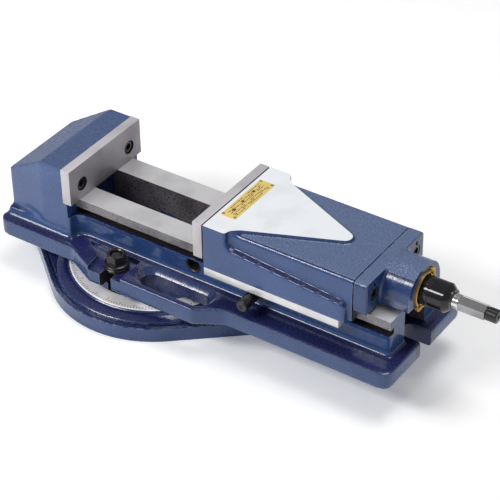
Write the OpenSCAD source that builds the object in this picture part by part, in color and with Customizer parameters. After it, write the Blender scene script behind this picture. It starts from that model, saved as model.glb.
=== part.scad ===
// Machine vise with a hydraulic booster spindle on a swivel base.
// Origin: swivel axis at the underside of the swivel base.  +X runs from the fixed
// jaw towards the spindle, +Z is up.  All sizes are in millimetres.

/* [Jaws] */
// Width of both jaw plates
jaw_w = 160; // [140:1:200]
// Height of the jaw plates above the rails
jaw_h = 55; // [50:0.5:66]
// Thickness of a jaw plate
plate_t = 14.5; // [12:0.5:18]
// Opening between the jaw plates as drawn
opening = 203; // [170:1:210]
// Distance of the plate screws from the centre line
plate_screw_y = 53; // [40:1:60]
// Height of the plate screws above the rails
plate_screw_z = 22.5; // [18:0.5:30]

/* [Body casting] */
// Distance from the fixed gripping face to the spindle end of the body
body_front = 510; // [490:1:560]
// Distance from the fixed gripping face to the closed end of the body
body_back = 122; // [112:1:150]
// Height from the underside of the body flange to the rails
body_h = 81; // [76:1:100]
// Thickness of the body flange
flange_t = 26; // [20:1:34]
// Width of the body flange
flange_w = 192; // [180:1:220]
// Width across the clamping lugs
lug_w = 238; // [226:1:260]
// Width across the outside of both rails
rail_w = 121; // [116:1:130]
// Gap between the rails
rail_gap = 51; // [44:1:56]
// Thickness of the rail lip that the keepers hook under
rail_lip = 13; // [10:0.5:16]
// Height of the undercut below the rail lip
undercut_h = 9; // [8:0.5:12]
// Depth of the undercut
undercut_d = 8.5; // [6:0.5:10]
// Distance from the rail end to the spindle end of the body
rail_setback = 18; // [10:1:40]
// Width of the clamp slots through the flange
slot_w = 28; // [18:1:30]

/* [Swivel base] */
// Distance from the fixed gripping face to the swivel axis
swivel_x = 83; // [80:1:95]
// Radius of the round part of the base
base_r = 152.5; // [140:0.5:175]
// Height of the base
base_h = 31; // [29:0.5:42]
// Height of the outer rim of the base
rim_h = 22; // [18:0.5:24]
// Distance of the ear centres from the swivel axis
ear_x = 175; // [165:1:200]
// Radius of an ear
ear_r = 40; // [34:1:46]
// Width of the bolt slots in the ears
ear_slot_w = 18; // [14:1:22]
// Radius of the T-slot ring that the clamp bolts ride in
t_slot_r = 92; // [90:1:96]
// Radius of the machined foot under the body
foot_r = 103; // [102:1:108]
// Height of that foot
foot_h = 18; // [12:1:26]
// Radius of the swivel pivot
pivot_r = 20; // [15:0.5:30]

/* [Movable jaw] */
// Length of the jaw casting behind its plate
jaw_len = 224.5; // [215:0.5:250]
// Height of the painted top above the rails
crown_h = 51; // [48:0.5:54]
// Width of the upper box of the jaw
box_w = 142; // [130:1:146]
// Length of the full-width front block
front_len = 36; // [30:1:50]
// Width of the cavity under the jaw
cavity_w = 72; // [56:1:80]
// Width of the rating plate across the jaw
label_w = 95; // [60:1:110]

/* [Spindle] */
// Height of the spindle axis above the rails
axis_h = 20; // [19.5:0.5:21.5]
// Major radius of the lead screw
screw_r = 19; // [18.5:0.5:19.5]
// Radius of the ram bore inside the lead screw
ram_r = 12; // [10:0.5:13]
// Radius of the primary piston
piston_r = 6; // [4:0.5:6.5]
// Across flats of the crank hexagon
hex_af = 19; // [17:1:19]
// Length of the crank hexagon
hex_len = 37; // [30:1:50]
// Radius of the black clutch sleeve
sleeve_r = 20; // [19.5:0.5:21.5]
// Radius of the locating pin shank
pin_r = 9.5; // [8:0.5:10]
// Spacing of the locating pin positions
pin_pitch = 104; // [90:1:108]

/* [Fits] */
// Radial clearance of running fits
run_fit = 0.05; // [0.03:0.01:0.08]
// Clearance between sliding faces on different bodies
slide_gap = 0.3; // [0.2:0.05:0.5]
// Radial clearance of a bolt in its hole
bolt_gap = 0.5; // [0.3:0.1:1]

/* [Hidden] */
$fn = 64;
eps = 0.01;

// Heights
z_foot = base_h;
z_flange = z_foot + foot_h;
z_floor = z_flange + flange_t;
z_rail = z_flange + body_h;
z_jaw = z_rail + jaw_h;
z_crown = z_rail + crown_h;
z_axis = z_rail + axis_h;
z_skirt = z_rail - rail_lip + 1;
keeper_h = 12;

// Stations along the vise
x_fixed = -swivel_x;
x_fixed_back = x_fixed - plate_t;
x_moving = x_fixed + opening;
x_jaw = x_moving + plate_t;
x_joint = x_jaw + jaw_len;
x_left = x_fixed - body_back;
x_right = x_fixed + body_front;
x_rail_end = x_right - rail_setback;

// Fixed block
block_front = x_fixed - 8;
block_top = 36;
block_back = x_left + 7;
block_taper = 10;
block_back_h = 17;
block_w = jaw_w;

// Flange, lugs and slots
corner_r = 14;
lug_left = [x_fixed + 8, x_fixed + 54];
lug_right = [x_fixed + 225.5, x_fixed + 263.5];
seat_depth = 5;
z_seat = z_floor - seat_depth;
seat_x = [-30, 25];
seat_y = rail_w / 2 + 9;
notch_w = 19;
side_slot_x = [x_fixed + 138, x_fixed + 218];
side_slot_y = (lug_w - 60) / 2;
side_slot_bevel = 8;
end_slot_depth = 22;

// Plate screws
m12_r = 6;
m12_head_r = 9;
m12_head_h = 12;
m12_recess = 14;
m12_cbore_r = 10;
m12_hex_af = 10;
m12_length = 28;

// Swivel clamp
stud_r = 8;
t_slot_neck = 18;
t_slot_width = 32;
t_slot_floor = 6;
t_slot_step = 17;
t_head = [26, 29, 9];
washer_r = 17.5;
washer_t = 4;
nut_collar_r = 17;
nut_collar_t = 5;
nut_af = 24;
nut_h = 19;
stud_top = z_seat + washer_t + nut_h - 3;

// Swivel base details
groove_in = 5;
groove_w = 4;
groove_depth = 3;
tier_r = [base_r - 11, base_r - 20, base_r - 29.5];
tier_z = [rim_h + 2, rim_h + 6, base_h];
ear_slot_len = 36;
keyway_w = 18;
keyway_depth = 5;
pivot_floor = 8;
pivot_head_r = pivot_r + 8;
pivot_head_t = 7;

// Locating pin and nut block
pin_x = x_fixed + 292;
pin_reach = rail_w / 2 - 0.5;
knob_r = 8.5;
z_pin = z_skirt - keeper_h - 0.5 - max(pin_r, knob_r);
hole_chamfer = 1.5;
knob_len = 42;
block_len = 40;
nut_len = 36;
nut_bore_r = screw_r + slide_gap;
nut_wall = 2.2;
nut_r = nut_bore_r + nut_wall;
nut_block_r = nut_r + 2.2;
nut_block_w = rail_gap - 2 * slide_gap;
set_screw_r = 3;

// Movable jaw
cavity_top = z_axis + nut_block_r + 2 * slide_gap;
cavity_front = x_jaw + 20;
pocket_front = cavity_front - 10;
pad_r = 17;
x_pad_back = cavity_front - 1;
skirt_end = x_joint - 7;
skirt_drop = [30, 15];
crown_pad_len = 182;
label_x = [x_jaw + 7, x_jaw + 31];
label_t = 0.6;

// Keepers
keeper_end = skirt_end - 8;
keeper_lip = undercut_h - 1.4;
keeper_in = rail_w / 2 - undercut_d + 1;
keeper_out = jaw_w / 2;
keeper_side = rail_w / 2 + 0.5;
keeper_top = z_skirt;
keeper_screw_count = 4;
m8_r = 4;
m8_head_r = 6.5;
m8_head_h = 8;
m8_hex_af = 6;

// Rear flange and boss
flange_plate_t = 20;
flange_plate_h = 46;
x_flange = x_joint + flange_plate_t;
boss_len = 42;
x_boss = x_flange + boss_len;
boss_r = 35;
boss_half_w = 40;
boss_low_r = 29;
boss_low = z_rail + 5.5;
flange_screw_y = 52;
flange_screw_z = z_rail + 29;
flange_dowel_z = z_rail + 42;
dowel_r = 3;
dowel_len = 30;
m12_flange_length = 32;

// Spindle stations and radii
collar_r = 22;
collar_t = 8;
x_collar = x_joint - 12;
journal_r = 15;
bush_r = 19;
washer_s = 1.5;
x_bearing = x_joint + 1.5;
roller_count = 12;
ram_travel = 2;
ram_rod_r = 8;
ram_len = 58;
x_ram_front = x_pad_back + ram_travel + 1;
x_screw_front = x_ram_front + 8;
retainer_t = 4;
spring_t = 1.6;
spring_pitch = 2.6;
ram_spring_count = 4;
x_ram_spring = x_screw_front + retainer_t + slide_gap;
x_ram_shoulder = x_ram_spring + ram_spring_count * spring_pitch + ram_travel;
ram_bore_end = x_ram_front + ram_len + 8;
piston_len = 96;
piston_bore_end = x_collar + 4;
piston_travel = 8;
piston_head_r = 9.5;
piston_head_len = 26;
x_piston_head = piston_bore_end + piston_travel + 4;
tail_r = 6;
ring_t = 3;
ring_r = 25;
ring_bore_r = 17.5;
ring_ear_r = 5.5;
ring_screw_at = 24.5;
ring_screw_angle = 50;
m4_r = 2;
m4_head_r = 3.5;
x_sleeve = x_boss + ring_t + 0.5;
sleeve_len = 32;
sleeve_nose = 7;
sleeve_bore_r = 15.5;
sleeve_wall = 17;
neck_r = 10.5;
neck_end_r = 9.2;
x_sleeve_end = x_sleeve + sleeve_len + sleeve_nose;
neck_len = 10;
x_hex = x_sleeve_end + neck_len;
groove_len = 2;
tip_len = 14;
x_clutch = x_sleeve + sleeve_wall;
clutch_r = 14.5;
clutch_t = 5;
clutch_gap = 0.8;
screw_tail_end = x_clutch - clutch_gap;
ball_r = 2.4;
ball_count = 6;
ball_circle = 12.2;
x_ball = x_clutch - clutch_gap / 2;
clutch_spring_count = 3;
seal_w = 3;
seal_depth = 2.2;

// ---------------------------------------------------------------- helpers

// Cylinder along +X from x0 to x1 on the spindle axis
module spindle_rod(r, x0, x1) {
    translate([x0, 0, z_axis]) rotate([0, 90, 0]) cylinder(r = r, h = x1 - x0);
}

// Hexagonal prism along +Z
module hex_prism(af, h) {
    cylinder(r = af / sqrt(3), h = h, $fn = 6);
}

// Socket cap screw along +Z: the head's outer face at z = 0, the shank below it
module cap_screw(r, head_r, head_h, length, af) {
    difference() {
        union() {
            translate([0, 0, -head_h]) cylinder(r = head_r, h = head_h);
            translate([0, 0, -head_h - length]) cylinder(r = r, h = length + eps);
        }
        translate([0, 0, -head_h / 2]) hex_prism(af, head_h);
    }
}

// Box from two opposite corners
module block(low, high) {
    translate(low) cube(high - low);
}

// Repeats the children on both sides of the centre plane
module both_sides() {
    children();
    mirror([0, 1, 0]) children();
}

// Oblong outline along X between two centres
module oblong(x0, x1, r) {
    translate([x0, 0]) circle(r = r);
    translate([x1, 0]) circle(r = r);
    translate([x0, -r]) square([x1 - x0, 2 * r]);
}

// Rectangle with round corners
module round_rect(x0, x1, w, r) {
    translate([x0, -w / 2 + r]) square([x1 - x0, w - 2 * r]);
    translate([x0 + r, -w / 2]) square([x1 - x0 - 2 * r, w]);
    for (x = [x0 + r, x1 - r], y = [-w / 2 + r, w / 2 - r]) translate([x, y]) circle(r = r);
}

// ---------------------------------------------------------------- swivel base

// Points along an arc about [cx, 0] from angle a0 to a1
function arc_points(cx, r, a0, a1, steps) =
    [for (i = [0 : steps]) let(t = a0 + (a1 - a0) * i / steps) [cx + r * cos(t), r * sin(t)]];

// Outline of the base: a disc with two ears joined by tangent flanks
module base_outline(inset) {
    r = base_r - inset;
    e = ear_r - inset;
    a = acos((r - e) / ear_x);
    polygon(concat(
        arc_points(ear_x, e, -a, a, 24),
        arc_points(0, r, a, 180 - a, 48),
        arc_points(-ear_x, e, 180 - a, 180 + a, 24),
        arc_points(0, r, 180 + a, 360 - a, 48)
    ));
}

module swivel_base() {
    neck = t_slot_neck / 2;
    wide = t_slot_width / 2;
    slot_half = (ear_slot_len - ear_slot_w) / 2;
    color([0.22, 0.33, 0.55]) difference() {
        union() {
            linear_extrude(rim_h) base_outline(0);
            rotate_extrude($fn = 128) polygon([
                [0, rim_h - 1],
                [tier_r[0], rim_h - 1],
                [tier_r[0], tier_z[0]],
                [tier_r[1], tier_z[1]],
                [tier_r[2] + 3, tier_z[1] + 1],
                [tier_r[2], tier_z[2]],
                [0, tier_z[2]]
            ]);
        }
        // Groove that follows the rim
        translate([0, 0, rim_h - groove_depth]) linear_extrude(groove_depth + 1) difference() {
            base_outline(groove_in);
            base_outline(groove_in + groove_w);
        }
        // T-slot ring
        rotate_extrude($fn = 128) polygon([
            [t_slot_r - wide, t_slot_floor],
            [t_slot_r + wide, t_slot_floor],
            [t_slot_r + wide, t_slot_step],
            [t_slot_r + neck, t_slot_step],
            [t_slot_r + neck, base_h + 1],
            [t_slot_r - neck, base_h + 1],
            [t_slot_r - neck, t_slot_step],
            [t_slot_r - wide, t_slot_step]
        ]);
        // Pivot bore, blind
        translate([0, 0, pivot_floor]) cylinder(r = pivot_r + run_fit, h = base_h);
        // Bolt slots and keyways in the ears
        for (side = [-1, 1]) {
            translate([side * ear_x, 0, -1]) linear_extrude(rim_h + 2)
                oblong(-slot_half, slot_half, ear_slot_w / 2);
            translate([side * (base_r - 30) - 15, -keyway_w / 2, -1])
                cube([30, keyway_w, keyway_depth + 1]);
        }
    }
}

module swivel_pivot() {
    color([0.62, 0.62, 0.64]) {
        translate([0, 0, pivot_floor + 1]) cylinder(r = pivot_r, h = z_floor - pivot_floor - 1);
        translate([0, 0, z_floor - pivot_head_t]) cylinder(r = pivot_head_r, h = pivot_head_t);
    }
}

// Children placed at the near and the far clamp stud
module at_studs() {
    for (side = [-1, 1]) translate([0, side * t_slot_r, 0]) children();
}

module clamp_t_bolts() {
    top = t_slot_step - slide_gap;
    color([0.12, 0.12, 0.13]) at_studs() {
        translate([-t_head[1] / 2, -t_head[0] / 2, top - t_head[2]]) cube([t_head[1], t_head[0], t_head[2]]);
        translate([0, 0, top - 1]) cylinder(r = stud_r, h = stud_top - top + 1);
    }
}

module clamp_washers() {
    color([0.12, 0.12, 0.13]) at_studs() translate([0, 0, z_seat]) difference() {
        cylinder(r = washer_r, h = washer_t);
        translate([0, 0, -1]) cylinder(r = stud_r + bolt_gap, h = washer_t + 2);
    }
}

// Collar nut on the clamp stud on one side
module clamp_nut(side) {
    z0 = z_seat + washer_t;
    color([0.10, 0.10, 0.11]) translate([0, side * t_slot_r, z0]) difference() {
        union() {
            cylinder(r = nut_collar_r, h = nut_collar_t - 1.5);
            translate([0, 0, nut_collar_t - 1.5]) cylinder(r1 = nut_collar_r, r2 = nut_collar_r - 3, h = 1.5);
            hex_prism(nut_af, nut_h);
        }
        translate([0, 0, -1]) cylinder(r = stud_r + run_fit, h = nut_h + 2);
    }
}

module clamp_nut_near() {
    clamp_nut(-1);
}

module clamp_nut_far() {
    clamp_nut(1);
}

// ---------------------------------------------------------------- body

module body_outline() {
    round_rect(x_left, x_right, flange_w, corner_r);
    both_sides() polygon([
        [lug_left[0] - 20, flange_w / 2 - 20],
        [lug_left[0], flange_w / 2],
        [lug_left[1], lug_w / 2],
        [lug_right[0], lug_w / 2],
        [lug_right[1], flange_w / 2],
        [lug_right[1] + 20, flange_w / 2 - 20]
    ]);
}

// Side view of the fixed block: flat top, slope to the back
module fixed_block() {
    intersection() {
        rotate([90, 0, 0]) translate([0, 0, -block_w / 2]) linear_extrude(block_w) polygon([
            [block_front, z_floor - 1],
            [block_front, z_rail],
            [x_fixed_back, z_rail],
            [x_fixed_back, z_jaw],
            [x_fixed_back - block_top, z_jaw],
            [block_back, z_rail + block_back_h],
            [block_back, z_floor - 1]
        ]);
        translate([0, 0, z_floor - 1]) linear_extrude(z_jaw) polygon([
            [block_front, -block_w / 2],
            [block_front, block_w / 2],
            [x_fixed_back - block_top, block_w / 2],
            [block_back, block_w / 2 - block_taper],
            [block_back, -block_w / 2 + block_taper],
            [x_fixed_back - block_top, -block_w / 2]
        ]);
    }
}

// Seat recess, stud notch and clamp slot on the near side
module lug_cuts() {
    translate([0, 0, z_seat]) linear_extrude(flange_t) polygon([
        [seat_x[0] - 33, -seat_y],
        [seat_x[0] - 3, -seat_y - 22],
        [seat_x[0], -lug_w / 2 - 1],
        [seat_x[1], -lug_w / 2 - 1],
        [seat_x[1], -seat_y]
    ]);
    translate([0, -t_slot_r, z_foot - 1]) cylinder(r = notch_w / 2, h = flange_t + foot_h + 1);
    translate([-notch_w / 2, -lug_w / 2 - 1, z_foot - 1])
        cube([notch_w, lug_w / 2 + 1 - t_slot_r, flange_t + foot_h + 1]);
    translate([0, -side_slot_y, z_foot - 1]) linear_extrude(foot_h + flange_t + 2)
        oblong(side_slot_x[0], side_slot_x[1], slot_w / 2);
    // Bevelled rim of the clamp slot
    for (x = side_slot_x) translate([x, -side_slot_y, z_floor - side_slot_bevel])
        cylinder(r1 = slot_w / 2, r2 = slot_w / 2 + side_slot_bevel + 1, h = side_slot_bevel + 1);
    translate([side_slot_x[0], -side_slot_y, z_floor - side_slot_bevel]) rotate([90, 0, 90])
        linear_extrude(side_slot_x[1] - side_slot_x[0]) polygon([
            [-slot_w / 2, 0],
            [slot_w / 2, 0],
            [slot_w / 2 + side_slot_bevel + 1, side_slot_bevel + 1],
            [-slot_w / 2 - side_slot_bevel - 1, side_slot_bevel + 1]
        ]);
}

module vise_body() {
    color([0.24, 0.36, 0.60]) difference() {
        union() {
            translate([0, 0, z_flange]) linear_extrude(flange_t) body_outline();
            translate([0, 0, z_foot]) cylinder(r = foot_r, h = foot_h + 1, $fn = 128);
            fixed_block();
            block([block_front - 1, -rail_w / 2, z_floor - 1], [x_rail_end, rail_w / 2, z_rail]);
        }
        // Channel between the rails
        block([block_front, -rail_gap / 2, z_floor], [x_right + 1, rail_gap / 2, z_rail + 1]);
        // Undercuts below the rail lips
        both_sides() block(
            [block_front, rail_w / 2 - undercut_d, z_rail - rail_lip - undercut_h],
            [x_rail_end + 1, rail_w / 2 + 1, z_rail - rail_lip]
        );
        both_sides() lug_cuts();
        // Slot in the spindle end
        translate([0, 0, z_flange - 1]) linear_extrude(flange_t + 2)
            oblong(x_right - end_slot_depth, x_right + slot_w, slot_w / 2);
        // Locating pin holes
        for (x = [pin_x - pin_pitch, pin_x]) {
            translate([x, rail_w / 2 + 1, z_pin]) rotate([90, 0, 0])
                cylinder(r = pin_r + run_fit, h = rail_w + 2);
            translate([x, hole_chamfer - rail_w / 2, z_pin]) rotate([90, 0, 0])
                cylinder(r1 = pin_r + run_fit, r2 = pin_r + run_fit + 2 * hole_chamfer, h = 2 * hole_chamfer);
        }
        // Seat for the swivel pivot
        translate([0, 0, z_foot - 1]) cylinder(r = pivot_r + run_fit / 2, h = z_floor);
        translate([0, 0, z_floor - pivot_head_t]) cylinder(r = pivot_head_r + bolt_gap, h = pivot_head_t + 1);
        // Tapped holes for the plate screws
        both_sides() translate([x_fixed_back - m12_length, plate_screw_y, z_rail + plate_screw_z])
            rotate([0, 90, 0]) cylinder(r = m12_r + run_fit, h = m12_length + 1);
    }
}

// Jaw plate from its back face at x = 0 towards +X, counterbored from the front
module jaw_plate() {
    difference() {
        translate([0, -jaw_w / 2, z_rail]) cube([plate_t, jaw_w, jaw_h]);
        both_sides() translate([0, plate_screw_y, z_rail + plate_screw_z]) rotate([0, 90, 0]) {
            translate([0, 0, -1]) cylinder(r = m12_r + bolt_gap, h = plate_t + 2);
            translate([0, 0, plate_t - m12_recess + 0.5]) cylinder(r = m12_cbore_r, h = m12_recess);
        }
    }
}

// Pair of plate screws, heads just below the plate's front face
module jaw_screws() {
    head_face = plate_t - m12_recess + 0.5 + m12_head_h;
    both_sides() translate([head_face, plate_screw_y, z_rail + plate_screw_z]) rotate([0, 90, 0])
        cap_screw(m12_r, m12_head_r, m12_head_h, m12_length - 2, m12_hex_af);
}

module fixed_jaw_plate() {
    color([0.74, 0.73, 0.75]) translate([x_fixed_back, 0, 0]) jaw_plate();
}

module fixed_jaw_screws() {
    color([0.10, 0.10, 0.11]) translate([x_fixed_back, 0, 0]) jaw_screws();
}

// ---------------------------------------------------------------- nut block

module nut_block() {
    half = block_len / 2;
    color([0.35, 0.36, 0.38]) difference() {
        union() {
            block([pin_x - half, -nut_block_w / 2, z_floor + slide_gap],
                [pin_x + half, nut_block_w / 2, z_axis]);
            spindle_rod(nut_block_r, pin_x - half, pin_x + half);
        }
        spindle_rod(nut_r, pin_x - half - 1, pin_x + half + 1);
        translate([pin_x, rail_w, z_pin]) rotate([90, 0, 0]) cylinder(r = pin_r + run_fit, h = 2 * rail_w);
        for (x = [-1, 1]) translate([pin_x + x * block_len / 4, 0, z_axis - nut_r - 10])
            cylinder(r = set_screw_r, h = 20);
    }
}

module lead_nut() {
    half = block_len / 2;
    color([0.72, 0.52, 0.25]) difference() {
        spindle_rod(nut_r, pin_x - half, pin_x + half);
        spindle_rod(nut_bore_r, pin_x - half - 1, pin_x + half + 1);
    }
}

module nut_set_screws() {
    color([0.12, 0.12, 0.13]) for (x = [-1, 1])
        translate([pin_x + x * block_len / 4, 0, z_axis - nut_r - 10]) cylinder(r = set_screw_r, h = 9);
}

module locating_pin() {
    y_end = -pin_reach;
    color([0.10, 0.10, 0.11]) {
        translate([pin_x, rail_w / 2, z_pin]) rotate([90, 0, 0])
            cylinder(r = pin_r, h = rail_w / 2 + pin_reach);
        translate([pin_x, y_end + 1, z_pin]) rotate([90, 0, 0]) cylinder(r = knob_r, h = knob_len - 1);
        translate([pin_x, y_end + 1 - knob_len + 2, z_pin]) rotate([90, 0, 0])
            cylinder(r1 = knob_r, r2 = knob_r - 1.5, h = 1.5);
    }
}

// ---------------------------------------------------------------- movable jaw

// Side view of one skirt: its top edge slopes down towards the spindle
module skirt() {
    round_r = 7;
    rotate([90, 0, 0]) translate([0, 0, rail_w / 2 + 0.5])
        linear_extrude(jaw_w / 2 - rail_w / 2 - 0.5) {
            polygon([
                [x_jaw, z_skirt],
                [skirt_end, z_skirt],
                [skirt_end, z_rail + skirt_drop[1] - round_r],
                [skirt_end - round_r, z_rail + skirt_drop[1]],
                [x_jaw + front_len + 10, z_rail + skirt_drop[0]],
                [x_jaw, z_rail + skirt_drop[0]]
            ]);
            translate([skirt_end - round_r, z_rail + skirt_drop[1] - round_r]) circle(r = round_r);
        }
}

// Raised machined pad on the crown, narrowing towards the spindle
module crown_pad() {
    half = jaw_w / 2;
    translate([0, 0, z_crown - 1]) linear_extrude(z_jaw - z_crown + 1) {
        polygon([
            [x_jaw, -half],
            [x_jaw + 36, -half],
            [x_jaw + 38, -69.5],
            [x_jaw + 50, -61.5],
            [x_jaw + crown_pad_len - 8, -10.5],
            [x_jaw + crown_pad_len - 8, 10.5],
            [x_jaw + 50, 61.5],
            [x_jaw + 38, 69.5],
            [x_jaw + 36, half],
            [x_jaw, half]
        ]);
        translate([x_jaw + crown_pad_len - 12, 0]) circle(r = 11.5);
    }
}

module movable_jaw() {
    color([0.27, 0.39, 0.62]) difference() {
        union() {
            block([x_jaw, -jaw_w / 2, z_rail + slide_gap / 10], [x_jaw + front_len, jaw_w / 2, z_crown]);
            block([x_jaw, -box_w / 2, z_rail + slide_gap / 10], [x_joint, box_w / 2, z_crown]);
            skirt();
            mirror([0, 1, 0]) skirt();
            crown_pad();
        }
        // Cavity for the nut block and the spindle
        block([cavity_front, -cavity_w / 2, z_rail - 1], [x_joint + 1, cavity_w / 2, cavity_top]);
        // Pocket for the pressure pad
        spindle_rod(pad_r, pocket_front, cavity_front + 1);
        // Shallow seat for the rating plate
        block([label_x[0], -label_w / 2, z_jaw - label_t / 2], [label_x[1], label_w / 2, z_jaw + 1]);
        for (x = [label_x[0] + 3, label_x[1] - 3], y = [-1, 1])
            translate([x, y * (label_w / 2 - 4), z_jaw - 4]) cylinder(r = 1.2, h = 5);
        // Tapped holes for the plate, flange and keeper screws
        both_sides() {
            translate([x_jaw - 1, plate_screw_y, z_rail + plate_screw_z])
                rotate([0, 90, 0]) cylinder(r = m12_r + run_fit, h = m12_length + 1);
            translate([x_joint - m12_flange_length + flange_plate_t, flange_screw_y, flange_screw_z])
                rotate([0, 90, 0]) cylinder(r = m12_r + run_fit, h = m12_flange_length);
            translate([x_joint - dowel_len / 2, flange_screw_y, flange_dowel_z])
                rotate([0, 90, 0]) cylinder(r = dowel_r, h = dowel_len);
            for (i = [0 : keeper_screw_count - 1])
                translate([keeper_screw_x(i), keeper_screw_y, z_skirt - 1])
                    cylinder(r = m8_r + run_fit, h = 21);
        }
    }
}

module movable_jaw_plate() {
    color([0.74, 0.73, 0.75]) translate([x_jaw, 0, 0]) mirror([1, 0, 0]) jaw_plate();
}

module movable_jaw_screws() {
    color([0.10, 0.10, 0.11]) translate([x_jaw, 0, 0]) mirror([1, 0, 0]) jaw_screws();
}

keeper_start = x_jaw + 2;
keeper_screw_y = (keeper_side + keeper_out) / 2;
function keeper_screw_x(i) =
    keeper_start + 20 + i * (keeper_end - keeper_start - 40) / (keeper_screw_count - 1);

// Keeper strip on the far side: bar below the skirt with a lip in the undercut
module keeper() {
    lip_top = z_rail - rail_lip - slide_gap;
    color([0.80, 0.79, 0.80]) difference() {
        union() {
            block([keeper_start, keeper_side, keeper_top - keeper_h], [keeper_end, keeper_out, keeper_top]);
            block([keeper_start, keeper_in, lip_top - keeper_lip], [keeper_end, keeper_side + 1, lip_top]);
        }
        for (i = [0 : keeper_screw_count - 1]) translate([keeper_screw_x(i), keeper_screw_y, 0]) {
            translate([0, 0, z_flange]) cylinder(r = m8_r + bolt_gap, h = z_rail);
            translate([0, 0, z_flange]) cylinder(r = m8_head_r + bolt_gap,
                h = keeper_top - keeper_h + m8_head_h + 0.5 - z_flange);
        }
    }
}

module near_keeper() {
    mirror([0, 1, 0]) keeper();
}

module far_keeper() {
    keeper();
}

module keeper_screws() {
    color([0.12, 0.12, 0.13]) both_sides() for (i = [0 : keeper_screw_count - 1])
        translate([keeper_screw_x(i), keeper_screw_y, keeper_top - keeper_h + 0.5]) mirror([0, 0, 1])
            cap_screw(m8_r, m8_head_r, m8_head_h, 20, m8_hex_af);
}

module rating_plate() {
    z0 = z_jaw - label_t / 2;
    color([0.85, 0.72, 0.30]) difference() {
        block([label_x[0] + 0.2, -label_w / 2 + 0.2, z0],
            [label_x[1] - 0.2, label_w / 2 - 0.2, z0 + label_t]);
        for (x = [label_x[0] + 3, label_x[1] - 3], y = [-1, 1])
            translate([x, y * (label_w / 2 - 4), z0 - 1]) cylinder(r = 1.4, h = 3);
    }
}

module rating_plate_rivets() {
    color([0.80, 0.80, 0.80]) for (x = [label_x[0] + 3, label_x[1] - 3], y = [-1, 1])
        translate([x, y * (label_w / 2 - 4), z_jaw - 3.5]) {
            cylinder(r = 1.2, h = 4);
            translate([0, 0, 3.5 + label_t / 2]) cylinder(r = 2, h = 0.7);
        }
}

module pressure_pad() {
    color([0.55, 0.55, 0.58]) spindle_rod(pad_r - run_fit, pocket_front, x_pad_back);
}

// ---------------------------------------------------------------- rear flange

// Cross-section of the boss: round crown, square flanks, round lower lobe
module boss_section() {
    intersection() {
        translate([0, z_axis]) circle(r = boss_r);
        translate([-boss_r, boss_low]) square(2 * boss_r);
    }
    translate([0, z_axis]) circle(r = boss_low_r);
    translate([-boss_half_w, boss_low]) square([2 * boss_half_w, z_axis - boss_low + 4]);
}

module rear_flange() {
    low = z_crown - flange_plate_h;
    color([0.24, 0.36, 0.60]) difference() {
        union() {
            block([x_joint, -box_w / 2, low], [x_flange, box_w / 2, z_crown]);
            translate([x_flange - 1, 0, 0]) rotate([90, 0, 90]) linear_extrude(boss_len + 1) boss_section();
        }
        spindle_rod(bush_r, x_joint - 1, x_boss + 1);
        both_sides() {
            translate([x_joint - 1, flange_screw_y, flange_screw_z]) rotate([0, 90, 0])
                cylinder(r = m12_r + bolt_gap, h = flange_plate_t + 2);
            translate([x_flange - m12_head_h - 0.5, flange_screw_y, flange_screw_z]) rotate([0, 90, 0])
                cylinder(r = m12_head_r + bolt_gap, h = m12_head_h + 1);
            translate([x_joint - 1, flange_screw_y, flange_dowel_z]) rotate([0, 90, 0])
                cylinder(r = dowel_r, h = flange_plate_t + 2);
        }
        at_ring_screws() translate([0, 0, -12]) cylinder(r = m4_r, h = 13);
    }
}

// Children at both ring screws, +Z pointing along the spindle from the boss face
module at_ring_screws() {
    for (turn = [0, 180]) translate([x_boss, 0, z_axis]) rotate([ring_screw_angle + turn, 0, 0])
        translate([0, ring_screw_at, 0]) rotate([0, 90, 0]) children();
}

module flange_screws() {
    color([0.10, 0.10, 0.11]) both_sides() translate([x_flange - 0.5, flange_screw_y, flange_screw_z])
        rotate([0, 90, 0]) cap_screw(m12_r, m12_head_r, m12_head_h, m12_flange_length - 13, m12_hex_af);
}

module flange_dowels() {
    color([0.55, 0.55, 0.58]) both_sides()
        translate([x_joint - dowel_len / 2, flange_screw_y, flange_dowel_z])
        rotate([0, 90, 0]) cylinder(r = dowel_r, h = dowel_len);
}

module spindle_bush() {
    color([0.72, 0.52, 0.25]) difference() {
        spindle_rod(bush_r, x_bearing + washer_s, x_boss);
        spindle_rod(journal_r + run_fit, x_joint, x_boss + 1);
    }
}

module retaining_ring() {
    color([0.85, 0.65, 0.18]) difference() {
        union() {
            spindle_rod(ring_r, x_boss, x_boss + ring_t);
            at_ring_screws() cylinder(r = ring_ear_r, h = ring_t);
        }
        spindle_rod(ring_bore_r, x_boss - 1, x_boss + ring_t + 1);
        at_ring_screws() translate([0, 0, -1]) cylinder(r = m4_r + 0.2, h = ring_t + 2);
    }
}

module ring_screws() {
    color([0.72, 0.55, 0.20]) at_ring_screws() {
        translate([0, 0, -10]) cylinder(r = m4_r, h = 10 + ring_t + 0.5);
        difference() {
            translate([0, 0, ring_t]) cylinder(r = m4_head_r, h = 2.2);
            translate([-m4_head_r, -0.5, ring_t + 1.2]) cube([2 * m4_head_r, 1, 2]);
        }
    }
}

// ---------------------------------------------------------------- spindle

module thrust_washers() {
    color([0.60, 0.60, 0.62]) for (x = [x_collar + collar_t, x_bearing])
        spindle_ring(bush_r - bolt_gap, journal_r + bolt_gap, x, washer_s);
}

module thrust_rollers() {
    x_front = x_collar + collar_t + washer_s;
    color([0.50, 0.50, 0.52]) for (i = [0 : roller_count - 1])
        translate([(x_front + x_bearing) / 2, 0, z_axis]) rotate([i * 360 / roller_count, 0, 0])
            translate([0, 0, journal_r + 0.7]) cylinder(r = (x_bearing - x_front) / 2, h = 2.6);
}

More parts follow.
